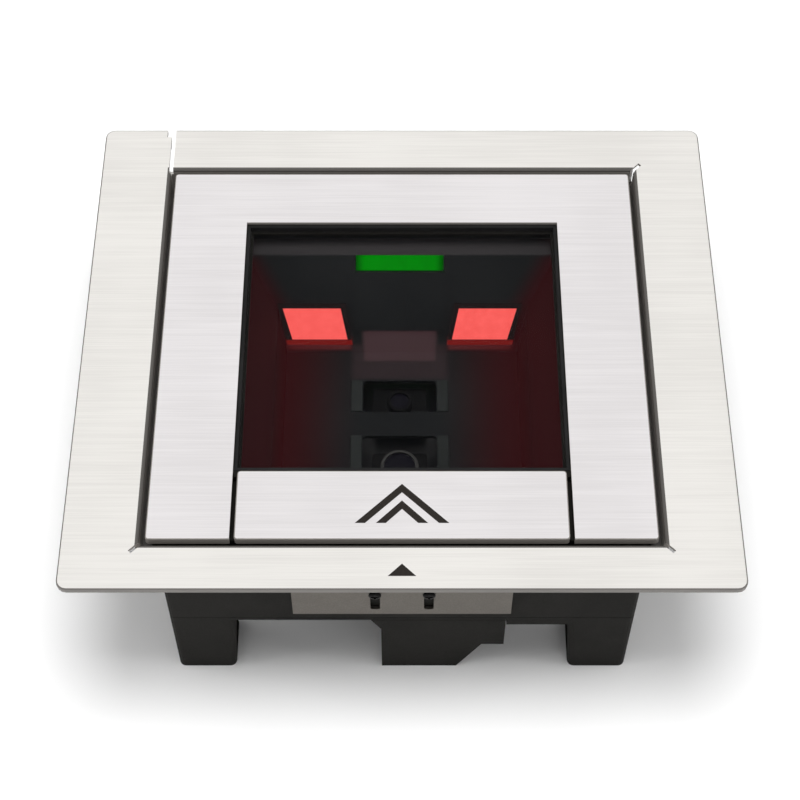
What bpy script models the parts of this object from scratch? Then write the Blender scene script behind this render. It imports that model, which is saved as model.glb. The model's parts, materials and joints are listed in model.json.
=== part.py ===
"""In-counter single-plane barcode scanner: a steel top frame on a moulded chassis with four legs.

The platter with its window lifts out of the frame, and the tile in front of the window slides back on two
hooks. Millimetres are used throughout and turned to metres when a mesh is made. +X is right, +Y is away from
the cashier and +Z is up. The legs stand on Z = 0.
"""

from math import cos, pi, radians, sin, sqrt

import bmesh
import bpy
from mathutils import Matrix, Vector

MM = 0.001

# Fits
FIT = 0.3
SEAT = 0.3
THROUGH = 10.0
OVERLAP = 1.0

# Top frame
FRAME_WIDTH = 292.0
FRAME_DEPTH = 254.0
TOP = 102.0
FRAME_CORNER = 4.5
FRAME_SHEET = 1.5
FRAME_EDGE_ROUND = 0.6
HEM_THICKNESS = 1.3
HEM_WIDTH = 10.0
STRIP_FRONT = 21.5
STRIP_BACK = 25.5
STRIP_SIDE = 33.5
FRAME_WALL = 12.0
FRAME_LEDGE = 9.0
RELIEF_LENGTH = 5.0
RELIEF_WIDTH = 1.8
OPENING_ROUND = 1.6
SLIT_WIDTH = 2.0
SLIT_NOTCH_WIDTH = 2.2
SLIT_NOTCH_DEPTH = 4.5

# Platter
PLATTER_GAP = 2.5
PLATTER_SHEET = 1.5
PLATTER_LIP = 4.0
PLATTER_CORNER = 1.5
PLATTER_EDGE_ROUND = 0.5
WINDOW_SIDE_MARGIN = 36.0
WINDOW_FRONT_MARGIN = 35.0
WINDOW_BACK_MARGIN = 30.0
GASKET_WIDTH = 1.4
GLASS_THICKNESS = 3.0
GLASS_SEAT_WIDTH = 3.0
GLASS_SEAT_THICKNESS = 1.5
CARRIER_SHEET = 3.0
CARRIER_SKIRT = 8.0
CARRIER_WALL = 3.0
CARRIER_RIB = 2.0
PAD_LENGTH = 22.0
PAD_INSET = 22.0

# Chevron tile and its slider
TILE_SIDE_GAP = 2.0
TILE_BACK_GAP = 0.8
TILE_TRAVEL = 6.0
SLIDER_SIDE_INSET = 12.0
SLIDER_THICKNESS = 3.4
SLIDER_DEPTH = 17.0
SLIDER_FRONT_WALL = 2.0
TRAY_FLOOR = 2.0
HOOK_SIDE_INSET = 18.0
HOOK_SETBACK = 9.0
HOOK_WIDTH = 10.0
HOOK_LEG = 3.0
HOOK_TOE = 2.5
HOOK_HEIGHT = 1.8

# Chassis
CHASSIS_SIDE_INSET = 41.7
CHASSIS_END_INSET = 12.5
CHASSIS_WALL = 2.5
CHASSIS_CORNER = 3.0
DECK_THICKNESS = 3.0
DECK_OVERHANG = 8.9
GUSSET_THICKNESS = 3.0
GUSSET_HEIGHT = 9.0
GUSSETS_PER_SIDE = 4
SHELF_HEIGHT = 48.0
SHELF_DROP_RIGHT = 4.5
FLOOR_FLANGE = 10.0
FLOOR_FLANGE_THICKNESS = 2.0
LEG_TOP_WIDTH = 30.3
LEG_FOOT_WIDTH = 26.8
LEG_DEPTH = 27.0
LEG_SOLE = 3.0

# Cable foot between the front legs
FOOT_LEFT = -9.4
FOOT_RIGHT = 25.3
FOOT_SLANT_RIGHT = 36.4
FOOT_STEP_RIGHT = 46.9
FOOT_STEP_HEIGHT = 23.2
FOOT_CHAMFER_WIDTH = 4.5
FOOT_CHAMFER_HEIGHT = 9.0
FOOT_DEPTH = 18.0
FOOT_WALL = 2.5

# Front bracket
BRACKET_WIDTH = 96.5
BRACKET_SHEET = 1.5
BRACKET_LOW = 57.7
BRACKET_REACH = 6.0
BRACKET_BEND = 2.2
BRACKET_SLOT_SPACING = 23.6
BRACKET_SLOT_WIDTH = 4.3
BRACKET_SLOT_LOW = 62.3
BRACKET_SLOT_HIGH = 82.0
BRACKET_SLOT_ROUND = 1.2
BRACKET_SCREW_HEIGHT = 77.0

# Optics tub, its apertures as shares of its floor from the back
TUB_WALL = 2.0
TUB_RIM_WIDTH = 8.0
TUB_RIM_THICKNESS = 2.0
TUB_MARGIN = 1.0
TUB_BACK_LEDGE = 9.3
TUB_STEP = 0.5
TUB_LEDGE_DEPTH = 14.0
TUB_KNEE_DEPTH = 33.0
TUB_KNEE_INSET = 15.0
TUB_KNEE_FRONT_INSET = 8.0
TUB_FLOOR_DEPTH = 48.0
TUB_FLOOR_INSET = 19.0
TUB_FLOOR_FRONT_INSET = 14.0
APERTURE_WIDTH = 35.0
BACK_APERTURE_START_SHARE = 0.204
BACK_APERTURE_END_SHARE = 0.421
FRONT_APERTURE_START_SHARE = 0.585
FRONT_APERTURE_END_SHARE = 0.914

# Lamps on the tub's back slope, as distances down the slope
OPTICS_X = -1.1
LIGHT_BAR_WIDTH = 42.0
LIGHT_BAR_START = 0.8
LIGHT_BAR_END = 7.8
LIGHT_BAR_PROUD = 0.6
BAFFLE_SIDE_GAP = 0.8
BAFFLE_START = 8.6
BAFFLE_END = 37.0
BAFFLE_THICKNESS = 1.6
LAMP_START = 26.2
LAMP_END = 41.6
LAMP_SIDE_INSET = 18.3
LAMP_TOP_WIDTH = 28.1
LAMP_LOW_WIDTH = 26.8
LAMP_LEAN = 4.6
LAMP_EDGE = 1.0
BEZEL_BORDER = 1.4
BEZEL_THICKNESS = 1.2
BOARD_SHEET = 1.6
BOARD_STANDOFF = 4.0
POST_SIZE = 4.0
LED_SIZE = 5.0
LED_HEIGHT = 1.8
LED_SPACING = 13.0

# Cameras
CAMERA_HOLDER_WIDTH = 26.0
CAMERA_HOLDER_DEPTH = 20.0
CAMERA_HOLDER_CORNER = 2.0
BACK_CAMERA_HEIGHT = 12.0
BACK_BARREL_RADIUS = 6.0
FRONT_CAMERA_SETBACK = 10.0
FRONT_CAMERA_HEIGHT = 16.0
FRONT_BARREL_RADIUS = 9.0
BARREL_HEIGHT = 5.0
BARREL_CHAMFER = 0.5
LENS_RECESS = 1.6
LENS_RIM = 1.4
LENS_EDGE = 0.6
LENS_CROWN = 1.2
LENS_CROWN_SHARE = 0.3
LENS_SHOULDER = 1.0
LENS_SHOULDER_SHARE = 0.7

# Bottom cover
PAN_SIDE_INSET = 36.3
PAN_END_INSET = 30.5
PAN_DRAFT = 3.0
PAN_CORNER = 8.0
PAN_LOW = 20.0
PAN_WALL = 2.4
PAN_FLANGE_MARGIN = 5.0
PAN_FLANGE_THICKNESS = 2.4
LEG_CLEARANCE = 1.5
GRILLE_SLOTS = 5
GRILLE_SLOT_WIDTH = 2.2
GRILLE_SLOT_LENGTH = 24.0
GRILLE_PITCH = 5.0

# Electronics
BOARD_SIDE_MARGIN = 3.6
BOARD_END_MARGIN = 5.6
MAIN_BOARD_CORNER = 2.0
BOARD_HEIGHT = 9.0
BOARD_SCREW_INSET = 6.0
STANDOFF_RADIUS = 4.0
CAN_WIDTH = 30.0
CAN_DEPTH = 26.0
CAN_HEIGHT = 3.0
CAN_CORNER = 1.0
CAN_SIDE_INSET = 6.0
CAN_END_INSET = 30.0
PORT_DEPTH = 18.0
PORT_WALL = 1.6
DATA_PORT_X = -22.0
DATA_MOUTH_WIDTH = 11.8
DATA_MOUTH_HEIGHT = 7.2
POWER_PORT_X = 14.0
POWER_MOUTH_WIDTH = 8.0
POWER_MOUTH_HEIGHT = 7.2
SPEAKER_SIDE_INSET = 11.6
SPEAKER_END_INSET = 17.6
SPEAKER_RADIUS = 15.0
SPEAKER_HEIGHT = 6.0
SPEAKER_RING = 2.0
SPEAKER_CONE = 1.0
MAGNET_RADIUS = 9.0

# Screws
SCREW_RADIUS = 1.5
HEAD_RADIUS = 2.8
HEAD_HEIGHT = 1.5
HEAD_EDGE = 0.9
HEAD_FLAT_RADIUS = 2.0
SCREW_LENGTH = 6.0
SCREW_SIDES = 12

# Places worked out from the sizes above
LEFT_OPENING = -FRAME_WIDTH / 2 + STRIP_SIDE
RIGHT_OPENING = -LEFT_OPENING
FRONT_OPENING = -FRAME_DEPTH / 2 + STRIP_FRONT
BACK_OPENING = FRAME_DEPTH / 2 - STRIP_BACK
FRAME_UNDER = TOP - FRAME_SHEET
HEM_UNDER = FRAME_UNDER - HEM_THICKNESS
LEDGE_TOP = TOP - FRAME_WALL
LEDGE_UNDER = LEDGE_TOP - FRAME_SHEET
DECK_TOP = LEDGE_UNDER - SEAT
DECK_UNDER = DECK_TOP - DECK_THICKNESS

PLATTER_HALF = RIGHT_OPENING - PLATTER_GAP
PLATTER_FRONT = FRONT_OPENING + PLATTER_GAP
PLATTER_BACK = BACK_OPENING - PLATTER_GAP
PLATTER_UNDER = TOP - PLATTER_SHEET
WINDOW_HALF = PLATTER_HALF - WINDOW_SIDE_MARGIN
WINDOW_BACK = PLATTER_BACK - WINDOW_BACK_MARGIN
WINDOW_FRONT = PLATTER_FRONT + WINDOW_FRONT_MARGIN
TILE_HALF = WINDOW_HALF - TILE_SIDE_GAP
TILE_BACK = WINDOW_FRONT - TILE_BACK_GAP
CARRIER_TOP = PLATTER_UNDER - SEAT
CARRIER_UNDER = CARRIER_TOP - CARRIER_SHEET
CARRIER_LOW = CARRIER_TOP - CARRIER_SKIRT
GLASS_TOP = CARRIER_TOP
GLASS_UNDER = GLASS_TOP - GLASS_THICKNESS
GLASS_SEAT_TOP = GLASS_UNDER - SEAT
PAD_TOP = CARRIER_LOW - SEAT
PAD_LOW = LEDGE_TOP + SEAT
SLIDER_UNDER = CARRIER_TOP - SLIDER_THICKNESS
TRAY_TOP = SLIDER_UNDER - FIT
TRAY_LOW = TRAY_TOP - TRAY_FLOOR
HOOK_TOP = TRAY_LOW - FIT
HOOK_LOW = HOOK_TOP - HOOK_HEIGHT
CARRIER_HALF = PLATTER_HALF - PLATTER_SHEET - FIT
CARRIER_FRONT = PLATTER_FRONT + PLATTER_SHEET + FIT
CARRIER_BACK = PLATTER_BACK - PLATTER_SHEET - FIT
SLIDER_HALF = TILE_HALF - SLIDER_SIDE_INSET
SLIDER_FRONT = CARRIER_FRONT + SLIDER_FRONT_WALL + FIT
SLIDER_BACK = SLIDER_FRONT + SLIDER_DEPTH
HOOK_FRONT = SLIDER_FRONT + HOOK_SETBACK

CHASSIS_HALF = FRAME_WIDTH / 2 - CHASSIS_SIDE_INSET
CHASSIS_BACK = FRAME_DEPTH / 2 - CHASSIS_END_INSET
CHASSIS_FRONT = -CHASSIS_BACK
DECK_HALF = CHASSIS_HALF + DECK_OVERHANG

TUB_HALF = WINDOW_HALF + TUB_MARGIN
TUB_FRONT = WINDOW_FRONT - TUB_MARGIN
TUB_BACK = WINDOW_BACK + TUB_MARGIN
TUB_RIM_LOW = DECK_TOP + SEAT
TUB_RIM_TOP = TUB_RIM_LOW + TUB_RIM_THICKNESS
TUB_LEDGE = TOP - TUB_LEDGE_DEPTH
TUB_KNEE = TOP - TUB_KNEE_DEPTH
TUB_FLOOR = TOP - TUB_FLOOR_DEPTH
SLOPE_TOP_Y = TUB_BACK - TUB_BACK_LEDGE
KNEE_BACK = SLOPE_TOP_Y - (TUB_LEDGE - TUB_KNEE)
FLOOR_BACK = SLOPE_TOP_Y - (TUB_LEDGE - TUB_FLOOR)
FLOOR_FRONT = TUB_FRONT + TUB_FLOOR_FRONT_INSET
FLOOR_LENGTH = FLOOR_BACK - FLOOR_FRONT
BACK_APERTURE_FRONT = FLOOR_BACK - FLOOR_LENGTH * BACK_APERTURE_END_SHARE
BACK_APERTURE_BACK = FLOOR_BACK - FLOOR_LENGTH * BACK_APERTURE_START_SHARE
FRONT_APERTURE_FRONT = FLOOR_BACK - FLOOR_LENGTH * FRONT_APERTURE_END_SHARE
FRONT_APERTURE_BACK = FLOOR_BACK - FLOOR_LENGTH * FRONT_APERTURE_START_SHARE
BACK_CAMERA_Y = (BACK_APERTURE_FRONT + BACK_APERTURE_BACK) / 2
FRONT_CAMERA_Y = FRONT_APERTURE_FRONT + FRONT_CAMERA_SETBACK

LAMP_TOP_OUTER = TUB_HALF - LAMP_SIDE_INSET
LAMP_TOP_INNER = LAMP_TOP_OUTER - LAMP_TOP_WIDTH
LAMP_LOW_OUTER = LAMP_TOP_OUTER - LAMP_LEAN
LAMP_LOW_INNER = LAMP_LOW_OUTER - LAMP_LOW_WIDTH
BAFFLE_HALF = LAMP_LOW_INNER - LAMP_EDGE - BEZEL_BORDER - BAFFLE_SIDE_GAP

PAN_HALF = CHASSIS_HALF - PAN_SIDE_INSET
PAN_BACK = CHASSIS_BACK - PAN_END_INSET
PAN_TOP = SHELF_HEIGHT - SEAT
SHELF_TOP = SHELF_HEIGHT + FLOOR_FLANGE_THICKNESS
PAN_FLANGE_LOW = PAN_TOP - PAN_FLANGE_THICKNESS
PAN_FLOOR = PAN_LOW + PAN_WALL
BOARD_LOW = PAN_FLOOR + BOARD_HEIGHT
BOARD_TOP = BOARD_LOW + BOARD_SHEET
PAN_INNER_HALF = PAN_HALF - PAN_DRAFT - PAN_WALL
PAN_INNER_BACK = PAN_BACK - PAN_DRAFT - PAN_WALL
BOARD_HALF = PAN_INNER_HALF - BOARD_SIDE_MARGIN
BOARD_BACK = PAN_INNER_BACK - BOARD_END_MARGIN
CAN_X = BOARD_HALF - CAN_SIDE_INSET - CAN_WIDTH / 2
CAN_Y = BOARD_BACK - CAN_END_INSET - CAN_DEPTH / 2
SPEAKER_X = SPEAKER_RADIUS + SPEAKER_SIDE_INSET - PAN_INNER_HALF
SPEAKER_Y = SPEAKER_RADIUS + SPEAKER_END_INSET - PAN_INNER_BACK

MATERIALS = {
    "steel": ((0.83, 0.81, 0.79), 0.35, 1.0),
    "grey_steel": ((0.30, 0.28, 0.26), 0.5, 1.0),
    "zinc": ((0.62, 0.62, 0.60), 0.4, 1.0),
    "black_screw": ((0.03, 0.03, 0.03), 0.5, 1.0),
    "black_plastic": ((0.02, 0.019, 0.018), 0.55, 0.0),
    "inner_black": ((0.012, 0.010, 0.010), 0.6, 0.0),
    "rubber": ((0.015, 0.015, 0.015), 0.9, 0.0),
    "glass": ((0.05, 0.05, 0.05), 0.03, 0.0),
    "lens": ((0.03, 0.03, 0.05), 0.05, 0.0),
    "red_lens": ((0.90, 0.11, 0.10), 0.35, 0.0),
    "green_lens": ((0.0, 0.22, 0.005), 0.35, 0.0),
    "board": ((0.02, 0.12, 0.05), 0.5, 0.0),
    "white_ceramic": ((0.75, 0.74, 0.68), 0.5, 0.0),
}


def clear_scene():
    for old in list(bpy.data.objects):
        bpy.data.objects.remove(old, do_unlink=True)


def material(kind):
    colour, roughness, metallic = MATERIALS[kind]
    made = bpy.data.materials.new(kind)
    made.use_nodes = True
    shader = made.node_tree.nodes["Principled BSDF"]
    shader.inputs["Base Color"].default_value = (*colour, 1.0)
    shader.inputs["Roughness"].default_value = roughness
    shader.inputs["Metallic"].default_value = metallic
    return made


# Shapes, each returned as a closed bmesh in metres


def rectangle(x0, x1, y0, y1, radius=0.0, steps=4):
    """Counter-clockwise outline, with round corners if a radius is given."""
    if radius <= 0:
        return [(x0, y0), (x1, y0), (x1, y1), (x0, y1)]
    corners = ((x1, y0, -90), (x1, y1, 0), (x0, y1, 90), (x0, y0, 180))
    outline = []
    for x, y, start in corners:
        centre_x = x - radius if x == x1 else x + radius
        centre_y = y - radius if y == y1 else y + radius
        for step in range(steps + 1):
            angle = radians(start + 90 * step / steps)
            outline.append((centre_x + radius * cos(angle), centre_y + radius * sin(angle)))
    return outline


def loft(rings):
    """Closed shape through rings of as many points each, capped at both ends."""
    shape = bmesh.new()
    loops = [[shape.verts.new([c * MM for c in point]) for point in ring] for ring in rings]
    for low, high in zip(loops, loops[1:]):
        for i in range(len(low)):
            j = (i + 1) % len(low)
            shape.faces.new((low[i], low[j], high[j], high[i]))
    shape.faces.new(list(reversed(loops[0])))
    shape.faces.new(loops[-1])
    bmesh.ops.recalc_face_normals(shape, faces=shape.faces)
    return shape


def at_height(outline, z):
    return [(x, y, z) for x, y in outline]


def prism(outline, z0, z1):
    return loft([at_height(outline, z0), at_height(outline, z1)])


def box(x0, x1, y0, y1, z0, z1, radius=0.0):
    return prism(rectangle(x0, x1, y0, y1, radius), z0, z1)


def front_prism(outline, y0, y1):
    """Prism along Y of an outline in X and Z."""
    return loft([[(x, y, z) for x, z in outline] for y in (y1, y0)])


def side_prism(outline, x0, x1):
    """Prism along X of an outline in Y and Z."""
    return loft([[(x, y, z) for y, z in outline] for x in (x0, x1)])


def circle(radius, x=0.0, y=0.0, sides=24):
    angles = [2 * pi * i / sides for i in range(sides)]
    return [(x + radius * cos(a), y + radius * sin(a)) for a in angles]


def turned(profile, x=0.0, y=0.0, sides=24):
    """Revolved shape from (radius, height) pairs that run upward."""
    return loft([at_height(circle(radius, x, y, sides), z) for radius, z in profile])


def rounded_plate(x0, x1, y0, y1, corner, z0, z1, edge, steps=3):
    """Plate with a round top edge."""
    rings = [at_height(rectangle(x0, x1, y0, y1, corner), z0)]
    for step in range(steps + 1):
        angle = pi / 2 * step / steps
        inset = edge * (1 - cos(angle))
        outline = rectangle(x0 + inset, x1 - inset, y0 + inset, y1 - inset, corner - inset)
        rings.append(at_height(outline, z1 - edge + edge * sin(angle)))
    return loft(rings)


def moved(shape, matrix):
    shape.transform(matrix)
    bmesh.ops.recalc_face_normals(shape, faces=shape.faces)
    return shape


# Objects and Booleans


def make(name, shape, kind, parent):
    """Object with its own mesh and material under its body's empty, at the empty's place."""
    origin = parent.location
    shape.transform(Matrix.Translation(-origin))
    mesh = bpy.data.meshes.new(name)
    shape.to_mesh(mesh)
    shape.free()
    made = bpy.data.objects.new(name, mesh)
    bpy.context.scene.collection.objects.link(made)
    made.parent = parent
    mesh.materials.append(material(kind))
    return made


def combine(target, operation, shapes):
    for shape in shapes:
        shape.transform(Matrix.Translation(-target.parent.location))
        tool_mesh = bpy.data.meshes.new("tool")
        shape.to_mesh(tool_mesh)
        shape.free()
        tool = bpy.data.objects.new("tool", tool_mesh)
        bpy.context.scene.collection.objects.link(tool)
        tool.parent = target.parent
        modifier = target.modifiers.new("Boolean", "BOOLEAN")
        modifier.operation = operation
        modifier.solver = "EXACT"
        modifier.object = tool
        bpy.context.view_layer.update()
        graph = bpy.context.evaluated_depsgraph_get()
        result = bpy.data.meshes.new_from_object(target.evaluated_get(graph))
        target.modifiers.clear()
        old = target.data
        target.data = result
        bpy.data.meshes.remove(old)
        bpy.data.objects.remove(tool, do_unlink=True)
        bpy.data.meshes.remove(tool_mesh)


def cut(target, *shapes):
    combine(target, "DIFFERENCE", shapes)


def join(target, *shapes):
    combine(target, "UNION", shapes)


def body(name, location):
    empty = bpy.data.objects.new(name, None)
    empty.location = Vector(location) * MM
    bpy.context.scene.collection.objects.link(empty)
    return empty


def mirrored_pair():
    return (("left", -1), ("right", 1))


def corner_pairs():
    return [(x, y) for y in (-1, 1) for x in (-1, 1)]


def screw_shape(x, y, seat, length, facing=1):
    """Pan-head screw. Its head rises from the seat towards facing, its shank runs the other way."""
    profile = [
        (SCREW_RADIUS, -length),
        (SCREW_RADIUS, SEAT),
        (HEAD_RADIUS, SEAT),
        (HEAD_RADIUS, SEAT + HEAD_EDGE),
        (HEAD_FLAT_RADIUS, SEAT + HEAD_HEIGHT),
    ]
    shape = turned(profile, 0, 0, SCREW_SIDES)
    turn = Matrix.Identity(4) if facing > 0 else Matrix.Rotation(pi, 4, "X")
    return moved(shape, Matrix.Translation(Vector((x, y, seat)) * MM) @ turn)


def screw_hole(x, y, z):
    """Cutter for a screw that passes the height z."""
    reach = SCREW_LENGTH + THROUGH
    return prism(circle(SCREW_RADIUS + FIT, x, y, SCREW_SIDES), z - reach, z + reach)


# Places that several pieces share


def frame_screw_places():
    x = RIGHT_OPENING - FRAME_LEDGE / 2
    y = (BACK_OPENING - FRONT_OPENING) / 4
    centre = (BACK_OPENING + FRONT_OPENING) / 2
    return [(sx * x, centre + sy * y) for sx, sy in corner_pairs()]


def tub_screw_places():
    x = TUB_HALF + TUB_WALL + TUB_RIM_WIDTH / 2
    y = (TUB_BACK - TUB_FRONT) / 3
    centre = (TUB_BACK + TUB_FRONT) / 2
    return [(sx * x, centre + sy * y) for sx, sy in corner_pairs()]


def cover_screw_places():
    x = CHASSIS_HALF - CHASSIS_WALL - FLOOR_FLANGE / 2
    y = CHASSIS_BACK - LEG_DEPTH - FLOOR_FLANGE
    return [(sx * x, sy * y) for sx, sy in corner_pairs()]


def board_screw_places():
    x = BOARD_HALF - BOARD_SCREW_INSET
    y = BOARD_BACK - BOARD_SCREW_INSET
    return [(sx * x, sy * y) for sx, sy in corner_pairs()]


def bracket_screw_places():
    return [side * BRACKET_SLOT_SPACING / 2 for side in (-1, 1)]


def hook_places():
    return [side * (SLIDER_HALF - HOOK_SIDE_INSET) for side in (-1, 1)]


def on_slope(shape):
    """Sets a shape on the tub's back slope: X runs across, Y up the slope and Z stands out from it."""
    half = sqrt(0.5)
    turn = Matrix(((1, 0, 0, 0), (0, half, -half, 0), (0, half, half, 0), (0, 0, 0, 1)))
    place = Matrix.Translation(Vector((OPTICS_X, SLOPE_TOP_Y, TUB_LEDGE)) * MM)
    return moved(shape, place @ turn)


def lamp_outline(side, grow):
    """Outline of a red lamp on the slope, as a slanted quadrilateral grown on each side."""
    outline = [
        (LAMP_TOP_INNER - grow, grow - LAMP_START),
        (LAMP_LOW_INNER - grow, -LAMP_END - grow),
        (LAMP_LOW_OUTER + grow, -LAMP_END - grow),
        (LAMP_TOP_OUTER + grow, grow - LAMP_START),
    ]
    return [(side * x, y) for x, y in outline]


# Base: frame, chassis and what hangs from it


def top_frame(base):
    half, deep = FRAME_WIDTH / 2, FRAME_DEPTH / 2
    plate = rounded_plate(-half, half, -deep, deep, FRAME_CORNER, HEM_UNDER, TOP, FRAME_EDGE_ROUND)
    frame = make("top_frame", plate, "steel", base)
    inner = half - HEM_WIDTH
    inner_deep = deep - HEM_WIDTH
    cut(frame, box(-inner, inner, -inner_deep, inner_deep, HEM_UNDER - THROUGH, FRAME_UNDER))
    outer = (
        LEFT_OPENING - FRAME_SHEET,
        RIGHT_OPENING + FRAME_SHEET,
        FRONT_OPENING - FRAME_SHEET,
        BACK_OPENING + FRAME_SHEET,
    )
    join(frame, box(*outer, LEDGE_UNDER, TOP - FRAME_SHEET / 2))
    opening = (LEFT_OPENING, RIGHT_OPENING, FRONT_OPENING, BACK_OPENING)
    within = (
        LEFT_OPENING + FRAME_LEDGE,
        RIGHT_OPENING - FRAME_LEDGE,
        FRONT_OPENING + FRAME_LEDGE,
        BACK_OPENING - FRAME_LEDGE,
    )
    cut(frame, rounded_opening(*opening), box(*within, LEDGE_UNDER - THROUGH, TOP))
    cut(frame, *[relief(x, y, sx, sy) for x, y, sx, sy in relief_places()])
    slit_right = LEFT_OPENING + SLIT_WIDTH / 2
    slit_left = slit_right - SLIT_WIDTH
    notch_left = slit_left - SLIT_NOTCH_WIDTH
    low, high = HEM_UNDER - FIT, TOP + THROUGH
    cut(
        frame,
        box(slit_left, slit_right, BACK_OPENING - FRAME_SHEET, deep + THROUGH, low, high),
        box(notch_left, slit_left + FIT, deep - SLIT_NOTCH_DEPTH, deep + THROUGH, low, high),
    )
    cut(frame, *[screw_hole(x, y, LEDGE_TOP) for x, y in frame_screw_places()])
    return frame


def rounded_opening(x0, x1, y0, y1, steps=3):
    """Cutter for the opening, flared at the top so that the bend into the walls is round."""
    rings = [at_height(rectangle(x0, x1, y0, y1), LEDGE_TOP)]
    for step in range(steps + 1):
        angle = pi / 2 * step / steps
        flare = OPENING_ROUND * (1 - cos(angle))
        outline = rectangle(x0 - flare, x1 + flare, y0 - flare, y1 + flare)
        rings.append(at_height(outline, TOP - OPENING_ROUND + OPENING_ROUND * sin(angle)))
    rings.append(at_height(outline, TOP + THROUGH))
    return loft(rings)


def relief_places():
    return (
        (RIGHT_OPENING, BACK_OPENING, 1, 1),
        (LEFT_OPENING, FRONT_OPENING, -1, -1),
        (RIGHT_OPENING, FRONT_OPENING, 1, -1),
    )


def relief(x, y, sx, sy):
    """Cutter for the slanted bend relief at an inner corner of the frame."""
    corner = Vector((x, y))
    along = Vector((sx, sy)).normalized()
    across = Vector((-along.y, along.x)) * RELIEF_WIDTH / 2
    start = corner - along * RELIEF_WIDTH
    end = corner + along * RELIEF_LENGTH
    outline = [start - across, end - across, end + across, start + across]
    return prism(outline, LEDGE_TOP + FRAME_SHEET, TOP + THROUGH)


def chassis(base):
    plan = (-CHASSIS_HALF, CHASSIS_HALF, CHASSIS_FRONT, CHASSIS_BACK)
    low = SHELF_TOP + SEAT
    block = box(*plan, low, DECK_TOP, CHASSIS_CORNER)
    shell = make("chassis", block, "black_plastic", base)
    deck_plan = (-DECK_HALF, DECK_HALF, CHASSIS_FRONT, CHASSIS_BACK)
    join(shell, box(*deck_plan, DECK_UNDER, DECK_TOP, CHASSIS_CORNER))
    inner = CHASSIS_HALF - CHASSIS_WALL
    inner_deep = CHASSIS_BACK - CHASSIS_WALL
    cut(shell, box(-inner, inner, -inner_deep, inner_deep, low - THROUGH, DECK_UNDER))
    grow = TUB_WALL + FIT
    well = box(
        -TUB_HALF - grow,
        TUB_HALF + grow,
        TUB_FRONT - grow,
        TUB_BACK + grow,
        DECK_UNDER - THROUGH,
        DECK_TOP + THROUGH,
    )
    cut(shell, well)
    for gusset in gusset_shapes():
        join(shell, gusset)
    holes = [screw_hole(x, y, DECK_TOP) for x, y in frame_screw_places() + tub_screw_places()]
    holes += [bracket_hole(x) for x in bracket_screw_places()]
    cut(shell, *holes)


def leg_frame(base):
    """Lower moulding of the body: a flat shelf that carries the chassis, with a leg at each corner."""
    plan = (-CHASSIS_HALF, CHASSIS_HALF, CHASSIS_FRONT, CHASSIS_BACK)
    shelf = make("leg_frame", box(*plan, SHELF_HEIGHT, SHELF_TOP, CHASSIS_CORNER), "black_plastic", base)
    inner = CHASSIS_HALF - CHASSIS_WALL - FLOOR_FLANGE
    inner_deep = CHASSIS_BACK - CHASSIS_WALL - FLOOR_FLANGE
    cut(shelf, box(-inner, inner, -inner_deep, inner_deep, SHELF_HEIGHT - THROUGH, SHELF_TOP + THROUGH))
    apron_right = CHASSIS_HALF - LEG_TOP_WIDTH / 2
    apron_back = CHASSIS_FRONT + CHASSIS_WALL
    apron_low = SHELF_HEIGHT - SHELF_DROP_RIGHT
    join(shelf, box(FOOT_STEP_RIGHT, apron_right, CHASSIS_FRONT, apron_back, apron_low, SHELF_TOP))
    for sx, sy in corner_pairs():
        join(shelf, leg_shape(sx, sy))
        cut(shelf, leg_pocket(sx, sy))
    cut(shelf, *[screw_hole(x, y, SHELF_HEIGHT) for x, y in cover_screw_places()])


def leg_shape(sx, sy):
    """Leg at a corner of the shelf, upright outside and tapered on its inner sides."""
    outer_x, outer_y = sx * CHASSIS_HALF, sy * CHASSIS_BACK
    rings = []
    taper = LEG_TOP_WIDTH - LEG_FOOT_WIDTH
    foot = (0, LEG_FOOT_WIDTH, LEG_DEPTH - taper)
    top = (SHELF_TOP, LEG_TOP_WIDTH, LEG_DEPTH)
    for z, width, depth in (foot, top):
        xs = sorted((outer_x, outer_x - sx * width))
        ys = sorted((outer_y, outer_y - sy * depth))
        rings.append(at_height(rectangle(*xs, *ys, CHASSIS_CORNER), z))
    return loft(rings)


def leg_pocket(sx, sy):
    """Cutter that leaves a leg two walls and a sole, open towards the middle of the part."""
    x = sx * (CHASSIS_HALF - CHASSIS_WALL)
    y = sy * (CHASSIS_BACK - CHASSIS_WALL)
    xs = sorted((x, x - sx * (LEG_TOP_WIDTH + THROUGH)))
    ys = sorted((y, y - sy * (LEG_DEPTH + THROUGH)))
    return box(*xs, *ys, LEG_SOLE, SHELF_HEIGHT)


def gusset_shapes():
    reach = DECK_OVERHANG - GUSSET_THICKNESS / 2
    overlap = CHASSIS_WALL / 2
    pitch = (CHASSIS_BACK - CHASSIS_FRONT) / (GUSSETS_PER_SIDE + 1)
    shapes = []
    for side in (-1, 1):
        outline = [
            (side * (CHASSIS_HALF - overlap), DECK_UNDER - GUSSET_HEIGHT),
            (side * CHASSIS_HALF, DECK_UNDER - GUSSET_HEIGHT),
            (side * (CHASSIS_HALF + reach), DECK_UNDER),
            (side * (CHASSIS_HALF + reach), DECK_UNDER + DECK_THICKNESS / 2),
            (side * (CHASSIS_HALF - overlap), DECK_UNDER + DECK_THICKNESS / 2),
        ]
        for index in range(GUSSETS_PER_SIDE):
            y = CHASSIS_FRONT + pitch * (index + 1)
            shapes.append(front_prism(outline, y - GUSSET_THICKNESS / 2, y + GUSSET_THICKNESS / 2))
    return shapes


def bracket_hole(x):
    hole = prism(circle(SCREW_RADIUS + FIT, 0, 0, SCREW_SIDES), -THROUGH, THROUGH)
    place = Matrix.Translation(Vector((x, CHASSIS_FRONT, BRACKET_SCREW_HEIGHT)) * MM)
    return moved(hole, place @ Matrix.Rotation(pi / 2, 4, "X"))


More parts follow.
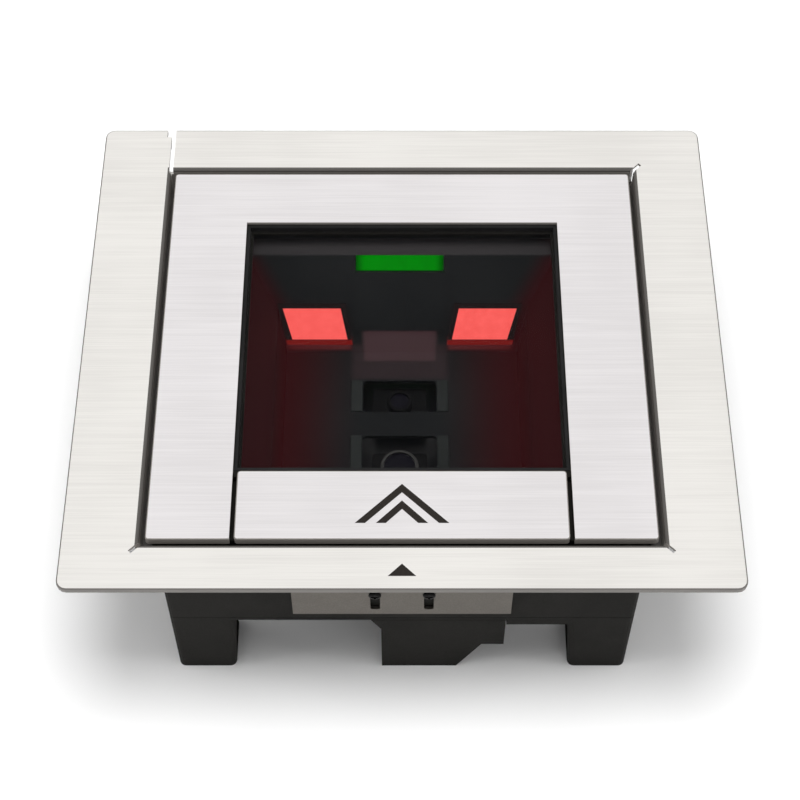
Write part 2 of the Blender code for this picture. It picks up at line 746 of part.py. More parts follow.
def cable_foot(base):
    """Block between the front legs, open at the back for the leads."""
    high = SHELF_HEIGHT - SEAT
    left = FOOT_LEFT - FOOT_CHAMFER_WIDTH
    outline = [
        (FOOT_LEFT, 0),
        (FOOT_RIGHT, 0),
        (FOOT_SLANT_RIGHT, FOOT_STEP_HEIGHT),
        (FOOT_STEP_RIGHT - FIT, FOOT_STEP_HEIGHT),
        (FOOT_STEP_RIGHT - FIT, high),
        (left, high),
        (FOOT_LEFT, high - FOOT_CHAMFER_HEIGHT),
    ]
    foot = make(
        "cable_foot",
        front_prism(outline, CHASSIS_FRONT, CHASSIS_FRONT + FOOT_DEPTH),
        "black_plastic",
        base,
    )
    hollow = [
        (FOOT_LEFT + FOOT_WALL, FOOT_WALL),
        (FOOT_RIGHT - FOOT_WALL, FOOT_WALL),
        (FOOT_SLANT_RIGHT - FOOT_WALL, FOOT_STEP_HEIGHT + FOOT_WALL),
        (FOOT_STEP_RIGHT - FIT - FOOT_WALL, FOOT_STEP_HEIGHT + FOOT_WALL),
        (FOOT_STEP_RIGHT - FIT - FOOT_WALL, high - FOOT_WALL),
        (FOOT_LEFT + FOOT_WALL, high - FOOT_WALL),
    ]
    cut(foot, front_prism(hollow, CHASSIS_FRONT + FOOT_WALL, CHASSIS_FRONT + FOOT_DEPTH + THROUGH))
    return foot


def quarter_turn(y, z, radius, steps=4):
    """Arc in Y and Z about a bend's centre, from its top round to its front."""
    angles = [pi / 2 + pi / 2 * step / steps for step in range(steps + 1)]
    return [(y + radius * cos(angle), z + radius * sin(angle)) for angle in angles]


def front_bracket(base):
    """Steel angle on the chassis front that carries the frame's front strip inside its hem."""
    half = BRACKET_WIDTH / 2
    back = CHASSIS_FRONT - SEAT
    front = back - BRACKET_SHEET
    high = FRAME_UNDER - SEAT
    bend = (front + BRACKET_BEND, high - BRACKET_BEND)
    profile = [(front, BRACKET_LOW), (back, BRACKET_LOW)]
    profile += reversed(quarter_turn(*bend, BRACKET_BEND - BRACKET_SHEET))
    profile += [(back + BRACKET_REACH, high - BRACKET_SHEET), (back + BRACKET_REACH, high)]
    profile += quarter_turn(*bend, BRACKET_BEND)
    bracket = make("front_bracket", side_prism(profile, -half, half), "grey_steel", base)
    for x in bracket_screw_places():
        edge = BRACKET_SLOT_WIDTH / 2
        outline = rectangle(x - edge, x + edge, BRACKET_SLOT_LOW, BRACKET_SLOT_HIGH, BRACKET_SLOT_ROUND)
        cut(bracket, front_prism(outline, front - THROUGH, back + THROUGH))
    for index, x in enumerate(bracket_screw_places(), 1):
        shape = screw_shape(0, 0, 0, SCREW_LENGTH)
        place = Matrix.Translation(Vector((x, front, BRACKET_SCREW_HEIGHT)) * MM)
        moved(shape, place @ Matrix.Rotation(pi / 2, 4, "X"))
        make(f"bracket_screw_{index}", shape, "black_screw", base)
    return bracket


# Optics


def tub_walls(grow, top):
    """The tub's upper walls, grown sideways and down for the outside."""
    plan = (-TUB_HALF - grow, TUB_HALF + grow, TUB_FRONT - grow, TUB_BACK + grow)
    return box(*plan, TUB_LEDGE - grow, top)


def tub_pit(grow):
    """The tub's sloping pit below the ledge, grown sideways and down for the outside."""
    sections = (
        (TUB_LEDGE + TUB_RIM_THICKNESS / 2, TUB_STEP, TUB_STEP, SLOPE_TOP_Y),
        (TUB_LEDGE - grow, TUB_STEP, TUB_STEP, SLOPE_TOP_Y),
        (TUB_KNEE - grow, TUB_KNEE_INSET, TUB_KNEE_FRONT_INSET, KNEE_BACK),
        (TUB_FLOOR - grow, TUB_FLOOR_INSET, TUB_FLOOR_FRONT_INSET, FLOOR_BACK),
    )
    rings = []
    for z, inset, front_inset, back in sections:
        half = TUB_HALF - inset + grow
        rings.append(at_height(rectangle(-half, half, TUB_FRONT + front_inset - grow, back + grow), z))
    return loft(rings)


def optics_tub(base):
    grow = TUB_WALL + TUB_RIM_WIDTH
    plan = (-TUB_HALF - grow, TUB_HALF + grow, TUB_FRONT - grow, TUB_BACK + grow)
    tub = make("optics_tub", box(*plan, TUB_RIM_LOW, TUB_RIM_TOP, TUB_WALL), "inner_black", base)
    join(tub, tub_walls(TUB_WALL, TUB_RIM_TOP), tub_pit(TUB_WALL), *slope_posts())
    cut(tub, tub_walls(0, TUB_RIM_TOP + THROUGH), tub_pit(0))
    left, right = OPTICS_X - APERTURE_WIDTH / 2, OPTICS_X + APERTURE_WIDTH / 2
    low, high = TUB_FLOOR - THROUGH, TUB_FLOOR + THROUGH / 2
    cut(tub, box(left, right, BACK_APERTURE_FRONT, BACK_APERTURE_BACK, low, high, TUB_WALL))
    cut(tub, box(left, right, FRONT_APERTURE_FRONT, FRONT_APERTURE_BACK, low, high, TUB_WALL))
    for _, side in mirrored_pair():
        cut(tub, on_slope(prism(lamp_outline(side, LAMP_EDGE + FIT), -THROUGH / 2, THROUGH / 2)))
    bar = LIGHT_BAR_WIDTH / 2 + FIT
    cut(tub, on_slope(box(-bar, bar, -LIGHT_BAR_END - FIT, FIT - LIGHT_BAR_START, -THROUGH, THROUGH / 2)))
    cut(tub, *[screw_hole(x, y, TUB_RIM_TOP) for x, y in tub_screw_places()])
    for index, (x, y) in enumerate(tub_screw_places(), 1):
        make(f"tub_screw_{index}", screw_shape(x, y, TUB_RIM_TOP, SCREW_LENGTH), "zinc", base)


def lamp_board_span(side):
    """Left, right, low and high edges of a lamp's board on the slope."""
    xs = sorted((side * (LAMP_LOW_INNER - LAMP_EDGE), side * (LAMP_TOP_OUTER + LAMP_EDGE)))
    margin = LAMP_EDGE + FIT + POST_SIZE
    return (*xs, -LAMP_END - margin, margin - LAMP_START)


def slope_posts():
    """Posts on the back of the slope that the small boards sit on."""
    wall = TUB_WALL * sqrt(2)
    shapes = []
    for _, side in mirrored_pair():
        x0, x1, y0, y1 = lamp_board_span(side)
        middle = (x0 + x1) / 2
        for y in (y0 + POST_SIZE / 2, y1 - POST_SIZE / 2):
            shapes.append(post(middle, y, wall))
        bar_end = side * (LIGHT_BAR_WIDTH / 2 + FIT + POST_SIZE / 2)
        shapes.append(post(bar_end, -(LIGHT_BAR_START + LIGHT_BAR_END) / 2, wall))
    return shapes


def post(x, y, wall):
    half = POST_SIZE / 2
    return on_slope(box(x - half, x + half, y - half, y + half, -wall - BOARD_STANDOFF, -wall / 2))


def lamps(base):
    wall = TUB_WALL * sqrt(2)
    board_top = -wall - BOARD_STANDOFF - SEAT
    for name, side in mirrored_pair():
        diffuser = prism(lamp_outline(side, LAMP_EDGE), -wall, 0)
        make(f"led_window_{name}", on_slope(diffuser), "red_lens", base)
        ring = on_slope(prism(lamp_outline(side, LAMP_EDGE + BEZEL_BORDER), SEAT, SEAT + BEZEL_THICKNESS))
        bezel = make(f"led_bezel_{name}", ring, "inner_black", base)
        cut(bezel, on_slope(prism(lamp_outline(side, 0), -THROUGH / 2, THROUGH / 2)))
        x0, x1, y0, y1 = lamp_board_span(side)
        board = box(x0, x1, y0, y1, board_top - BOARD_SHEET, board_top)
        make(f"led_board_{name}", on_slope(board), "board", base)
        middle_x, middle_y = (x0 + x1) / 2, (y0 + y1) / 2
        for index, offset in enumerate((-LED_SPACING / 2, LED_SPACING / 2), 1):
            x = middle_x + offset
            half = LED_SIZE / 2
            led = box(
                x - half,
                x + half,
                middle_y - half,
                middle_y + half,
                board_top + SEAT,
                board_top + SEAT + LED_HEIGHT,
            )
            make(f"led_{name}_{index}", on_slope(led), "white_ceramic", base)


def status_light(base):
    wall = TUB_WALL * sqrt(2)
    half = LIGHT_BAR_WIDTH / 2
    low = -wall - BOARD_STANDOFF
    bar = box(-half, half, -LIGHT_BAR_END, -LIGHT_BAR_START, low, LIGHT_BAR_PROUD)
    make("status_light_bar", on_slope(bar), "green_lens", base)
    edge = half + FIT + POST_SIZE
    board = box(
        -edge,
        edge,
        -LIGHT_BAR_END - BOARD_SHEET,
        BOARD_SHEET - LIGHT_BAR_START,
        low - SEAT - BOARD_SHEET,
        low - SEAT,
    )
    make("status_board", on_slope(board), "board", base)


def centre_baffle(base):
    plate = box(-BAFFLE_HALF, BAFFLE_HALF, -BAFFLE_END, -BAFFLE_START, SEAT, SEAT + BAFFLE_THICKNESS)
    make("centre_baffle", on_slope(plate), "inner_black", base)


def cameras(base):
    x = OPTICS_X
    for name, y, height, radius in (
        ("back", BACK_CAMERA_Y, BACK_CAMERA_HEIGHT, BACK_BARREL_RADIUS),
        ("front", FRONT_CAMERA_Y, FRONT_CAMERA_HEIGHT, FRONT_BARREL_RADIUS),
    ):
        half, deep = CAMERA_HOLDER_WIDTH / 2, CAMERA_HOLDER_DEPTH / 2
        low = BOARD_TOP + SEAT
        seat = low + height
        block = box(x - half, x + half, y - deep, y + deep, low, seat, CAMERA_HOLDER_CORNER)
        make(f"camera_holder_{name}", block, "inner_black", base)
        foot = seat + SEAT
        top = foot + BARREL_HEIGHT
        floor = top - LENS_RECESS
        tube = [(radius, foot), (radius, top - BARREL_CHAMFER), (radius - BARREL_CHAMFER, top)]
        barrel = make(f"lens_barrel_{name}", turned(tube, x, y), "inner_black", base)
        cut(barrel, prism(circle(radius - LENS_RIM, x, y), floor, top + THROUGH))
        edge = radius - LENS_RIM - FIT
        dome = [
            (edge, floor + SEAT),
            (edge, floor + LENS_EDGE),
            (LENS_SHOULDER_SHARE * edge, floor + LENS_SHOULDER),
            (LENS_CROWN_SHARE * edge, floor + LENS_CROWN),
        ]
        make(f"front_lens_{name}", turned(dome, x, y), "lens", base)


# Bottom cover and electronics


def bottom_cover(base):
    half = CHASSIS_HALF - CHASSIS_WALL - PAN_FLANGE_MARGIN + FIT
    deep = CHASSIS_BACK - CHASSIS_WALL - PAN_FLANGE_MARGIN + FIT
    flange = box(-half, half, -deep, deep, PAN_FLANGE_LOW, PAN_TOP)
    cover = make("bottom_cover", flange, "black_plastic", base)
    leg_x = CHASSIS_HALF - LEG_TOP_WIDTH - LEG_CLEARANCE
    leg_y = CHASSIS_BACK - LEG_DEPTH - LEG_CLEARANCE
    reach = CHASSIS_BACK + THROUGH
    for sx, sy in corner_pairs():
        xs = sorted((sx * leg_x, sx * reach))
        ys = sorted((sy * leg_y, sy * reach))
        cut(cover, box(*xs, *ys, PAN_FLANGE_LOW - THROUGH, PAN_TOP + THROUGH))
    foot_back = CHASSIS_FRONT + FOOT_DEPTH + LEG_CLEARANCE
    front_plan = (-leg_x - OVERLAP, leg_x + OVERLAP, -reach, foot_back)
    cut(cover, box(*front_plan, PAN_FLANGE_LOW - THROUGH, PAN_TOP + THROUGH))
    join(cover, pan_shape(0, PAN_LOW, PAN_TOP))
    cut(cover, pan_shape(PAN_WALL, PAN_FLOOR, PAN_TOP + THROUGH))
    for x, y in board_screw_places():
        standoff = prism(circle(STANDOFF_RADIUS, x, y), PAN_LOW + PAN_WALL / 2, BOARD_LOW - SEAT)
        join(cover, standoff)
    pilot = BOARD_TOP - SCREW_LENGTH - FIT
    for x, y in board_screw_places():
        cut(cover, prism(circle(SCREW_RADIUS + FIT, x, y, SCREW_SIDES), pilot, BOARD_TOP))
    cut(cover, *[screw_hole(x, y, PAN_FLANGE_LOW) for x, y in cover_screw_places()])
    for index in range(GRILLE_SLOTS):
        x = SPEAKER_X + (index - (GRILLE_SLOTS - 1) / 2) * GRILLE_PITCH
        edge = GRILLE_SLOT_WIDTH / 2
        length = GRILLE_SLOT_LENGTH / 2
        plan = (x - edge, x + edge, SPEAKER_Y - length, SPEAKER_Y + length)
        cut(cover, box(*plan, PAN_LOW - THROUGH, PAN_FLOOR + OVERLAP))
    for x, width, height in ports():
        edge = width / 2 + PORT_WALL + FIT
        low = BOARD_TOP + SEAT - FIT
        plan = (x - edge, x + edge, PAN_BACK - PAN_WALL - THROUGH, PAN_BACK + THROUGH)
        cut(cover, box(*plan, low, low + height + 2 * PORT_WALL + 2 * FIT))
    for index, (x, y) in enumerate(cover_screw_places(), 1):
        screw = screw_shape(x, y, PAN_FLANGE_LOW, SCREW_LENGTH, -1)
        make(f"cover_screw_{index}", screw, "zinc", base)
    return cover


def pan_shape(inset, low, high):
    """The drawn pan of the bottom cover, narrower at its floor."""
    half, deep = PAN_HALF - inset, PAN_BACK - inset
    corner = PAN_CORNER - inset
    foot = rectangle(-half + PAN_DRAFT, half - PAN_DRAFT, -deep + PAN_DRAFT, deep - PAN_DRAFT, corner)
    return loft([at_height(foot, low), at_height(rectangle(-half, half, -deep, deep, corner), high)])


def ports():
    return (
        (DATA_PORT_X, DATA_MOUTH_WIDTH, DATA_MOUTH_HEIGHT),
        (POWER_PORT_X, POWER_MOUTH_WIDTH, POWER_MOUTH_HEIGHT),
    )


def electronics(base):
    sheet = box(-BOARD_HALF, BOARD_HALF, -BOARD_BACK, BOARD_BACK, BOARD_LOW, BOARD_TOP, MAIN_BOARD_CORNER)
    board = make("main_board", sheet, "board", base)
    cut(board, *[screw_hole(x, y, BOARD_TOP) for x, y in board_screw_places()])
    for index, (x, y) in enumerate(board_screw_places(), 1):
        make(f"board_screw_{index}", screw_shape(x, y, BOARD_TOP, SCREW_LENGTH), "zinc", base)
    low = BOARD_TOP + SEAT
    wide, long = CAN_WIDTH / 2, CAN_DEPTH / 2
    plan = (CAN_X - wide, CAN_X + wide, CAN_Y - long, CAN_Y + long)
    make("processor_can", box(*plan, low, low + CAN_HEIGHT, CAN_CORNER), "zinc", base)
    for name, (x, width, height) in zip(("data_port", "power_port"), ports()):
        edge = width / 2 + PORT_WALL
        mouth = PAN_BACK
        shell = box(x - edge, x + edge, mouth - PORT_DEPTH, mouth, low, low + height + 2 * PORT_WALL)
        port = make(name, shell, "inner_black", base)
        hole = (x - width / 2, x + width / 2, mouth - PORT_DEPTH + PORT_WALL, mouth + THROUGH)
        cut(port, box(*hole, low + PORT_WALL, low + PORT_WALL + height))
    seat = PAN_FLOOR + SEAT
    profile = [
        (SPEAKER_RADIUS, seat),
        (SPEAKER_RADIUS, seat + SPEAKER_RING),
        (MAGNET_RADIUS, seat + SPEAKER_RING + SPEAKER_CONE),
        (MAGNET_RADIUS, seat + SPEAKER_HEIGHT),
    ]
    make("speaker", turned(profile, SPEAKER_X, SPEAKER_Y), "zinc", base)


# Platter and tile


def platter_plate(platter):
    shell = rounded_plate(
        -PLATTER_HALF,
        PLATTER_HALF,
        PLATTER_FRONT,
        PLATTER_BACK,
        PLATTER_CORNER,
        TOP - PLATTER_LIP,
        TOP,
        PLATTER_EDGE_ROUND,
    )
    plate = make("platter_plate", shell, "steel", platter)
    inside = (
        -PLATTER_HALF + PLATTER_SHEET,
        PLATTER_HALF - PLATTER_SHEET,
        PLATTER_FRONT + PLATTER_SHEET,
        PLATTER_BACK - PLATTER_SHEET,
    )
    cut(plate, box(*inside, TOP - PLATTER_LIP - THROUGH, PLATTER_UNDER))
    cut(
        plate,
        box(
            -WINDOW_HALF,
            WINDOW_HALF,
            PLATTER_FRONT - THROUGH,
            WINDOW_BACK,
            TOP - PLATTER_LIP - THROUGH,
            TOP + THROUGH,
        ),
    )
    return plate


def window(platter):
    edge = FIT
    outer = (
        -WINDOW_HALF + edge,
        WINDOW_HALF - edge,
        WINDOW_FRONT + edge,
        WINDOW_BACK - edge,
    )
    inset = GASKET_WIDTH
    inner = (outer[0] + inset, outer[1] - inset, outer[2] + inset, outer[3] - inset)
    gasket = make("window_gasket", box(*outer, GLASS_UNDER, GLASS_TOP), "rubber", platter)
    cut(gasket, box(*inner, GLASS_UNDER - THROUGH, GLASS_TOP + THROUGH))
    pane = (inner[0] + edge, inner[1] - edge, inner[2] + edge, inner[3] - edge)
    make("window_glass", box(*pane, GLASS_UNDER, GLASS_TOP), "glass", platter)


def platter_carrier(platter):
    plan = (-CARRIER_HALF, CARRIER_HALF, CARRIER_FRONT, CARRIER_BACK)
    block = box(*plan, CARRIER_LOW, CARRIER_TOP, PLATTER_CORNER)
    carrier = make("platter_carrier", block, "black_plastic", platter)
    collar = WINDOW_HALF + CARRIER_WALL
    collar_front, collar_back = WINDOW_FRONT - CARRIER_WALL, WINDOW_BACK + CARRIER_WALL
    inner = (
        -CARRIER_HALF + CARRIER_WALL,
        CARRIER_HALF - CARRIER_WALL,
        CARRIER_FRONT + CARRIER_WALL,
        CARRIER_BACK - CARRIER_WALL,
    )
    low = CARRIER_LOW - THROUGH
    rib = CARRIER_RIB / 2
    middle = (WINDOW_FRONT + WINDOW_BACK) / 2
    for side in (-1, 1):
        outer_x, collar_x = side * inner[1], side * collar
        xs = sorted((outer_x, collar_x))
        cut(carrier, box(*xs, inner[2], middle - rib, low, CARRIER_UNDER))
        cut(carrier, box(*xs, middle + rib, inner[3], low, CARRIER_UNDER))
        back_xs = sorted((side * rib, side * (collar - CARRIER_RIB)))
        cut(carrier, box(*back_xs, collar_back, inner[3], low, CARRIER_UNDER))
    window_plan = (-WINDOW_HALF, WINDOW_HALF, WINDOW_FRONT, WINDOW_BACK)
    cut(carrier, box(*window_plan, GLASS_SEAT_TOP, CARRIER_TOP + THROUGH))
    seat = GLASS_SEAT_WIDTH
    below = (-WINDOW_HALF + seat, WINDOW_HALF - seat, WINDOW_FRONT + seat, WINDOW_BACK - seat)
    cut(carrier, box(*below, low, CARRIER_TOP))
    under_seat = GLASS_SEAT_TOP - GLASS_SEAT_THICKNESS
    cut(carrier, box(*window_plan, low, under_seat))
    tile_room = (-WINDOW_HALF, WINDOW_HALF)
    tray_front = CARRIER_FRONT + SLIDER_FRONT_WALL
    lip_room = TOP - PLATTER_LIP - FIT
    cut(carrier, box(*tile_room, tray_front, collar_front, TRAY_TOP, CARRIER_TOP + THROUGH))
    cut(carrier, box(*tile_room, CARRIER_FRONT - THROUGH, tray_front + FIT, lip_room, CARRIER_TOP + THROUGH))
    cut(carrier, box(*tile_room, inner[2], collar_front, low, TRAY_LOW))
    for x in hook_places():
        half = HOOK_WIDTH / 2 + FIT
        front = HOOK_FRONT - FIT
        back = HOOK_FRONT + HOOK_LEG + TILE_TRAVEL + FIT
        cut(carrier, box(x - half, x + half, front, back, low, CARRIER_TOP))
    for index, (sx, sy) in enumerate(corner_pairs(), 1):
        x0 = sx * (CARRIER_HALF - CARRIER_WALL / 2)
        centre = (CARRIER_FRONT + CARRIER_BACK) / 2
        y0 = centre + sy * ((CARRIER_BACK - CARRIER_FRONT) / 2 - PAD_INSET)
        half = CARRIER_WALL / 2
        plan = (x0 - half, x0 + half, y0 - PAD_LENGTH / 2, y0 + PAD_LENGTH / 2)
        make(f"platter_pad_{index}", box(*plan, PAD_LOW, PAD_TOP, half / 2), "rubber", platter)
    return carrier


def tile(slide):
    shell = rounded_plate(
        -TILE_HALF,
        TILE_HALF,
        PLATTER_FRONT,
        TILE_BACK,
        PLATTER_CORNER,
        TOP - PLATTER_LIP,
        TOP,
        PLATTER_EDGE_ROUND,
    )
    skin = make("chevron_tile", shell, "steel", slide)
    cut(
        skin,
        box(
            -TILE_HALF - THROUGH,
            TILE_HALF + THROUGH,
            PLATTER_FRONT + PLATTER_SHEET,
            TILE_BACK + THROUGH,
            TOP - PLATTER_LIP - THROUGH,
            PLATTER_UNDER,
        ),
    )
    bar = box(-SLIDER_HALF, SLIDER_HALF, SLIDER_FRONT, SLIDER_BACK, SLIDER_UNDER, CARRIER_TOP)
    slider = make("tile_slider", bar, "black_plastic", slide)
    for x in hook_places():
        edge = HOOK_WIDTH / 2
        back = HOOK_FRONT + HOOK_LEG
        join(slider, box(x - edge, x + edge, HOOK_FRONT, back, HOOK_LOW, CARRIER_TOP - OVERLAP))
        join(slider, box(x - edge, x + edge, HOOK_FRONT - HOOK_TOE, back, HOOK_LOW, HOOK_TOP))
    return slider


def main():
    clear_scene()
    base = body("base", (0, 0, 0))
    platter = body("platter", (0, 0, LEDGE_TOP))
    slide = body("tile_slide", (0, PLATTER_FRONT, TOP))
    bpy.context.view_layer.update()
    top_frame(base)
    for index, (x, y) in enumerate(frame_screw_places(), 1):
        make(f"frame_screw_{index}", screw_shape(x, y, LEDGE_TOP, SCREW_LENGTH), "zinc", base)
    chassis(base)
    leg_frame(base)
    cable_foot(base)
    front_bracket(base)
    optics_tub(base)
    lamps(base)
    status_light(base)
    centre_baffle(base)
    cameras(base)
    bottom_cover(base)
    electronics(base)
    platter_plate(platter)
    window(platter)
    platter_carrier(platter)
    tile(slide)


main()
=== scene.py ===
"""Looks of the in-counter barcode scanner: materials, printed signs, small fittings, studio and camera.

Lengths are in metres in the part's own frame: +X right, +Y away from the viewer, +Z up, legs on Z = 0.
"""

import json
from math import acos, cos, pi, radians, sin

import bmesh
import bpy
from mathutils import Matrix, Vector

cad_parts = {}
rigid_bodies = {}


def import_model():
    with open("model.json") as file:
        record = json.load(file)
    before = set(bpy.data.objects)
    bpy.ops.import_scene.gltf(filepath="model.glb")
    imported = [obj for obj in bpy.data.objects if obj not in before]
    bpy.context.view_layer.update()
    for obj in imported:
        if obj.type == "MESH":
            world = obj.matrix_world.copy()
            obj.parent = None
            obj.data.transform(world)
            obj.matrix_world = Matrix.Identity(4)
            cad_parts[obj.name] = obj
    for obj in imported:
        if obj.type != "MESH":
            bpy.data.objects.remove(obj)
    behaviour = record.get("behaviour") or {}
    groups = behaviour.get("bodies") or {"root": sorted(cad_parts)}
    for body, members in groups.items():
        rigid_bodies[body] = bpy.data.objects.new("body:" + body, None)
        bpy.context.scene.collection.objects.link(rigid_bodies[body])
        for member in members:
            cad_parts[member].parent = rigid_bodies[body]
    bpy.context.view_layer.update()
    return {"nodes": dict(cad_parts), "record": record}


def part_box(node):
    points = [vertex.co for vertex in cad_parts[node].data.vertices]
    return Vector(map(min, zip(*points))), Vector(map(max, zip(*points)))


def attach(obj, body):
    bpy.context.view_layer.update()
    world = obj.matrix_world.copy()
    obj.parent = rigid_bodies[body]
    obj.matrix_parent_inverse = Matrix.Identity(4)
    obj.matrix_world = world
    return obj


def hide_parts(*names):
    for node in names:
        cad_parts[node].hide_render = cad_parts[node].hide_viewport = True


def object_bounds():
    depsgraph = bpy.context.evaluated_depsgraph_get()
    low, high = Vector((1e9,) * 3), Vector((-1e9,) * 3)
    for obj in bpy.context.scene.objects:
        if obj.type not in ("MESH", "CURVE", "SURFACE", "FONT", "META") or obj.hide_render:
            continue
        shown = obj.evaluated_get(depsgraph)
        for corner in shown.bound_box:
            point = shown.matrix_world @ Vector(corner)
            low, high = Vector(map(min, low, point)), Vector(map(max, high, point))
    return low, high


for old in list(bpy.data.objects):
    bpy.data.objects.remove(old, do_unlink=True)

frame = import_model()
nodes = frame["nodes"]
scene = bpy.context.scene
MM = 0.001
OPTICS_X = -1.1 * MM
BLACK = (0, 0, 0)
WHITE = (1, 1, 1)

# Node helpers


def new_material(name):
    made = bpy.data.materials.new(name)
    made.use_nodes = True
    return made, made.node_tree, made.node_tree.nodes["Principled BSDF"]


def fill(tree, node, inputs):
    """Fills a node's inputs: a socket that is given is linked, any other value is set."""
    for key, value in inputs.items():
        if isinstance(value, bpy.types.NodeSocket):
            tree.links.new(value, node.inputs[key])
        else:
            node.inputs[key].default_value = value


def add(tree, kind, inputs=None, **settings):
    """Adds a node with its settings and its inputs."""
    made = tree.nodes.new(kind)
    for key, value in settings.items():
        setattr(made, key, value)
    fill(tree, made, inputs or {})
    return made


def rgb(colour):
    return (*colour, 1.0)


def place(tree):
    return add(tree, "ShaderNodeTexCoord").outputs["Object"]


def stretched(tree, scale):
    """Object coordinates times a scale for each axis."""
    return add(tree, "ShaderNodeMapping", {"Vector": place(tree), "Scale": scale}).outputs["Vector"]


def noise(tree, vector, scale, detail=3.0, roughness=0.55):
    inputs = {"Vector": vector, "Scale": scale, "Detail": detail, "Roughness": roughness}
    return add(tree, "ShaderNodeTexNoise", inputs).outputs["Fac"]


def maths(tree, operation, first, second=0.0):
    return add(tree, "ShaderNodeMath", {0: first, 1: second}, operation=operation).outputs[0]


def product(tree, first, *others):
    for other in others:
        first = maths(tree, "MULTIPLY", first, other)
    return first


def between(tree, value, low, high, start=0.0, end=1.0):
    """Smooth step of a value from low to high, as start to end."""
    inputs = {"Value": value, "From Min": low, "From Max": high, "To Min": start, "To Max": end}
    return add(tree, "ShaderNodeMapRange", inputs, interpolation_type="SMOOTHSTEP").outputs["Result"]


def blend(tree, factor, first, second):
    """Mix of two colours, the second one where the factor is 1."""
    return add(tree, "ShaderNodeMix", {0: factor, 6: first, 7: second}, data_type="RGBA").outputs[2]


def split(tree, vector):
    return add(tree, "ShaderNodeSeparateXYZ", {"Vector": vector}).outputs


def true_normal(tree):
    return add(tree, "ShaderNodeNewGeometry").outputs["True Normal"]


def bump(tree, shader, height, strength, distance=0.1 * MM):
    inputs = {"Height": height, "Strength": strength, "Distance": distance}
    made = add(tree, "ShaderNodeBump", inputs)
    tree.links.new(made.outputs["Normal"], shader.inputs["Normal"])


# Materials. Bands are the parts of a noise's range that a smooth step runs over
WIDE_BAND = (0.3, 0.7)
NARROW_BAND = (0.35, 0.65)


def mottled(tree, scale, detail, dark, light):
    """Two close colours in cloudy patches."""
    cloud = noise(tree, place(tree), scale, detail)
    return blend(tree, between(tree, cloud, *NARROW_BAND), rgb(dark), rgb(light))


# Brushed steel: the brush marks, the span of the gaps inside the frame whose bends and walls get painted
# shade, and what counts as a top face, outside of which the edges get painted shade
FINE_BRUSH = (22, 1900, 1900)
FINE_SHARE = 0.6
COARSE_BRUSH = (9, 420, 420)
COARSE_SHARE = 0.4
CLOUD_SCALE = 14.0
CLOUD_SHARE = 0.5
GAPS_X = (125 * MM, 121 * MM)
GAPS_Y = (117 * MM, 113 * MM)
WALL_TO_BEND = (0.10, 0.25)
TOP_FACING = (0.97, 0.999)
TOP_HEIGHT = (96.5 * MM, 100.2 * MM)
BRUSHED_ROUGHNESS = (0.46, 0.36)
BRUSH_DEPTH = 0.08


def brushed_steel(name, light, dark, edge, bend_shade, wall_shade):
    """Stainless sheet brushed along X, with painted shade on its edges, and painted shade on the bends and
    walls around the gaps.
    """
    made, tree, shader = new_material(name)
    fine = noise(tree, stretched(tree, FINE_BRUSH), 1.0, 4.0, 0.6)
    coarse = noise(tree, stretched(tree, COARSE_BRUSH), 1.0, 2.0)
    cloud = maths(tree, "SUBTRACT", noise(tree, place(tree), CLOUD_SCALE, 2.0), 0.5)
    brush = maths(tree, "ADD", product(tree, fine, FINE_SHARE), product(tree, coarse, COARSE_SHARE))
    grain = maths(tree, "ADD", brush, product(tree, cloud, CLOUD_SHARE))
    face = blend(tree, between(tree, grain, *WIDE_BAND), rgb(dark), rgb(light))
    here = split(tree, place(tree))
    wide = between(tree, maths(tree, "ABSOLUTE", here["X"]), *GAPS_X)
    long = between(tree, maths(tree, "ABSOLUTE", here["Y"]), *GAPS_Y)
    inner = product(tree, wide, long)
    up = split(tree, true_normal(tree))["Z"]
    # painted shade: bends and walls in the gaps get dark colours in place of the shadow that falls there
    gap_shade_colour = blend(tree, between(tree, up, *WALL_TO_BEND), rgb(wall_shade), rgb(bend_shade))
    # painted shade: outside the gaps, faces that are not top faces get the dark edge colour
    shaded_rim = blend(tree, inner, rgb(edge), gap_shade_colour)
    top = product(tree, between(tree, up, *TOP_FACING), between(tree, here["Z"], *TOP_HEIGHT))
    # painted shade: in the gaps, faces that are not top faces are not metallic, so their dark painted
    # colour shows
    gap_shade_mask = product(tree, inner, maths(tree, "SUBTRACT", 1.0, top))
    inputs = {
        "Base Color": blend(tree, top, shaded_rim, face),
        "Roughness": between(tree, grain, *WIDE_BAND, *BRUSHED_ROUGHNESS),
        "Metallic": maths(tree, "SUBTRACT", 1.0, gap_shade_mask),
    }
    fill(tree, shader, inputs)
    bump(tree, shader, fine, BRUSH_DEPTH)
    return made


PLATE_CLOUD = 160.0
PLATE_GRAIN = 1800.0
PLATE_DEPTH = 0.06
PLATE_SPREAD = 0.06


def plated_steel(name, light, dark, roughness):
    """Plated sheet or fasteners, with faint cloudy patches."""
    made, tree, shader = new_material(name)
    fine = noise(tree, place(tree), PLATE_GRAIN, 2.0)
    spread = (roughness - PLATE_SPREAD, roughness + PLATE_SPREAD)
    inputs = {
        "Base Color": mottled(tree, PLATE_CLOUD, 4.0, dark, light),
        "Roughness": between(tree, fine, *WIDE_BAND, *spread),
        "Metallic": 1.0,
    }
    fill(tree, shader, inputs)
    bump(tree, shader, fine, PLATE_DEPTH)
    return made


MOULD_CLOUD = 30.0
SMOOTHER = 0.05
ROUGHER = 0.08


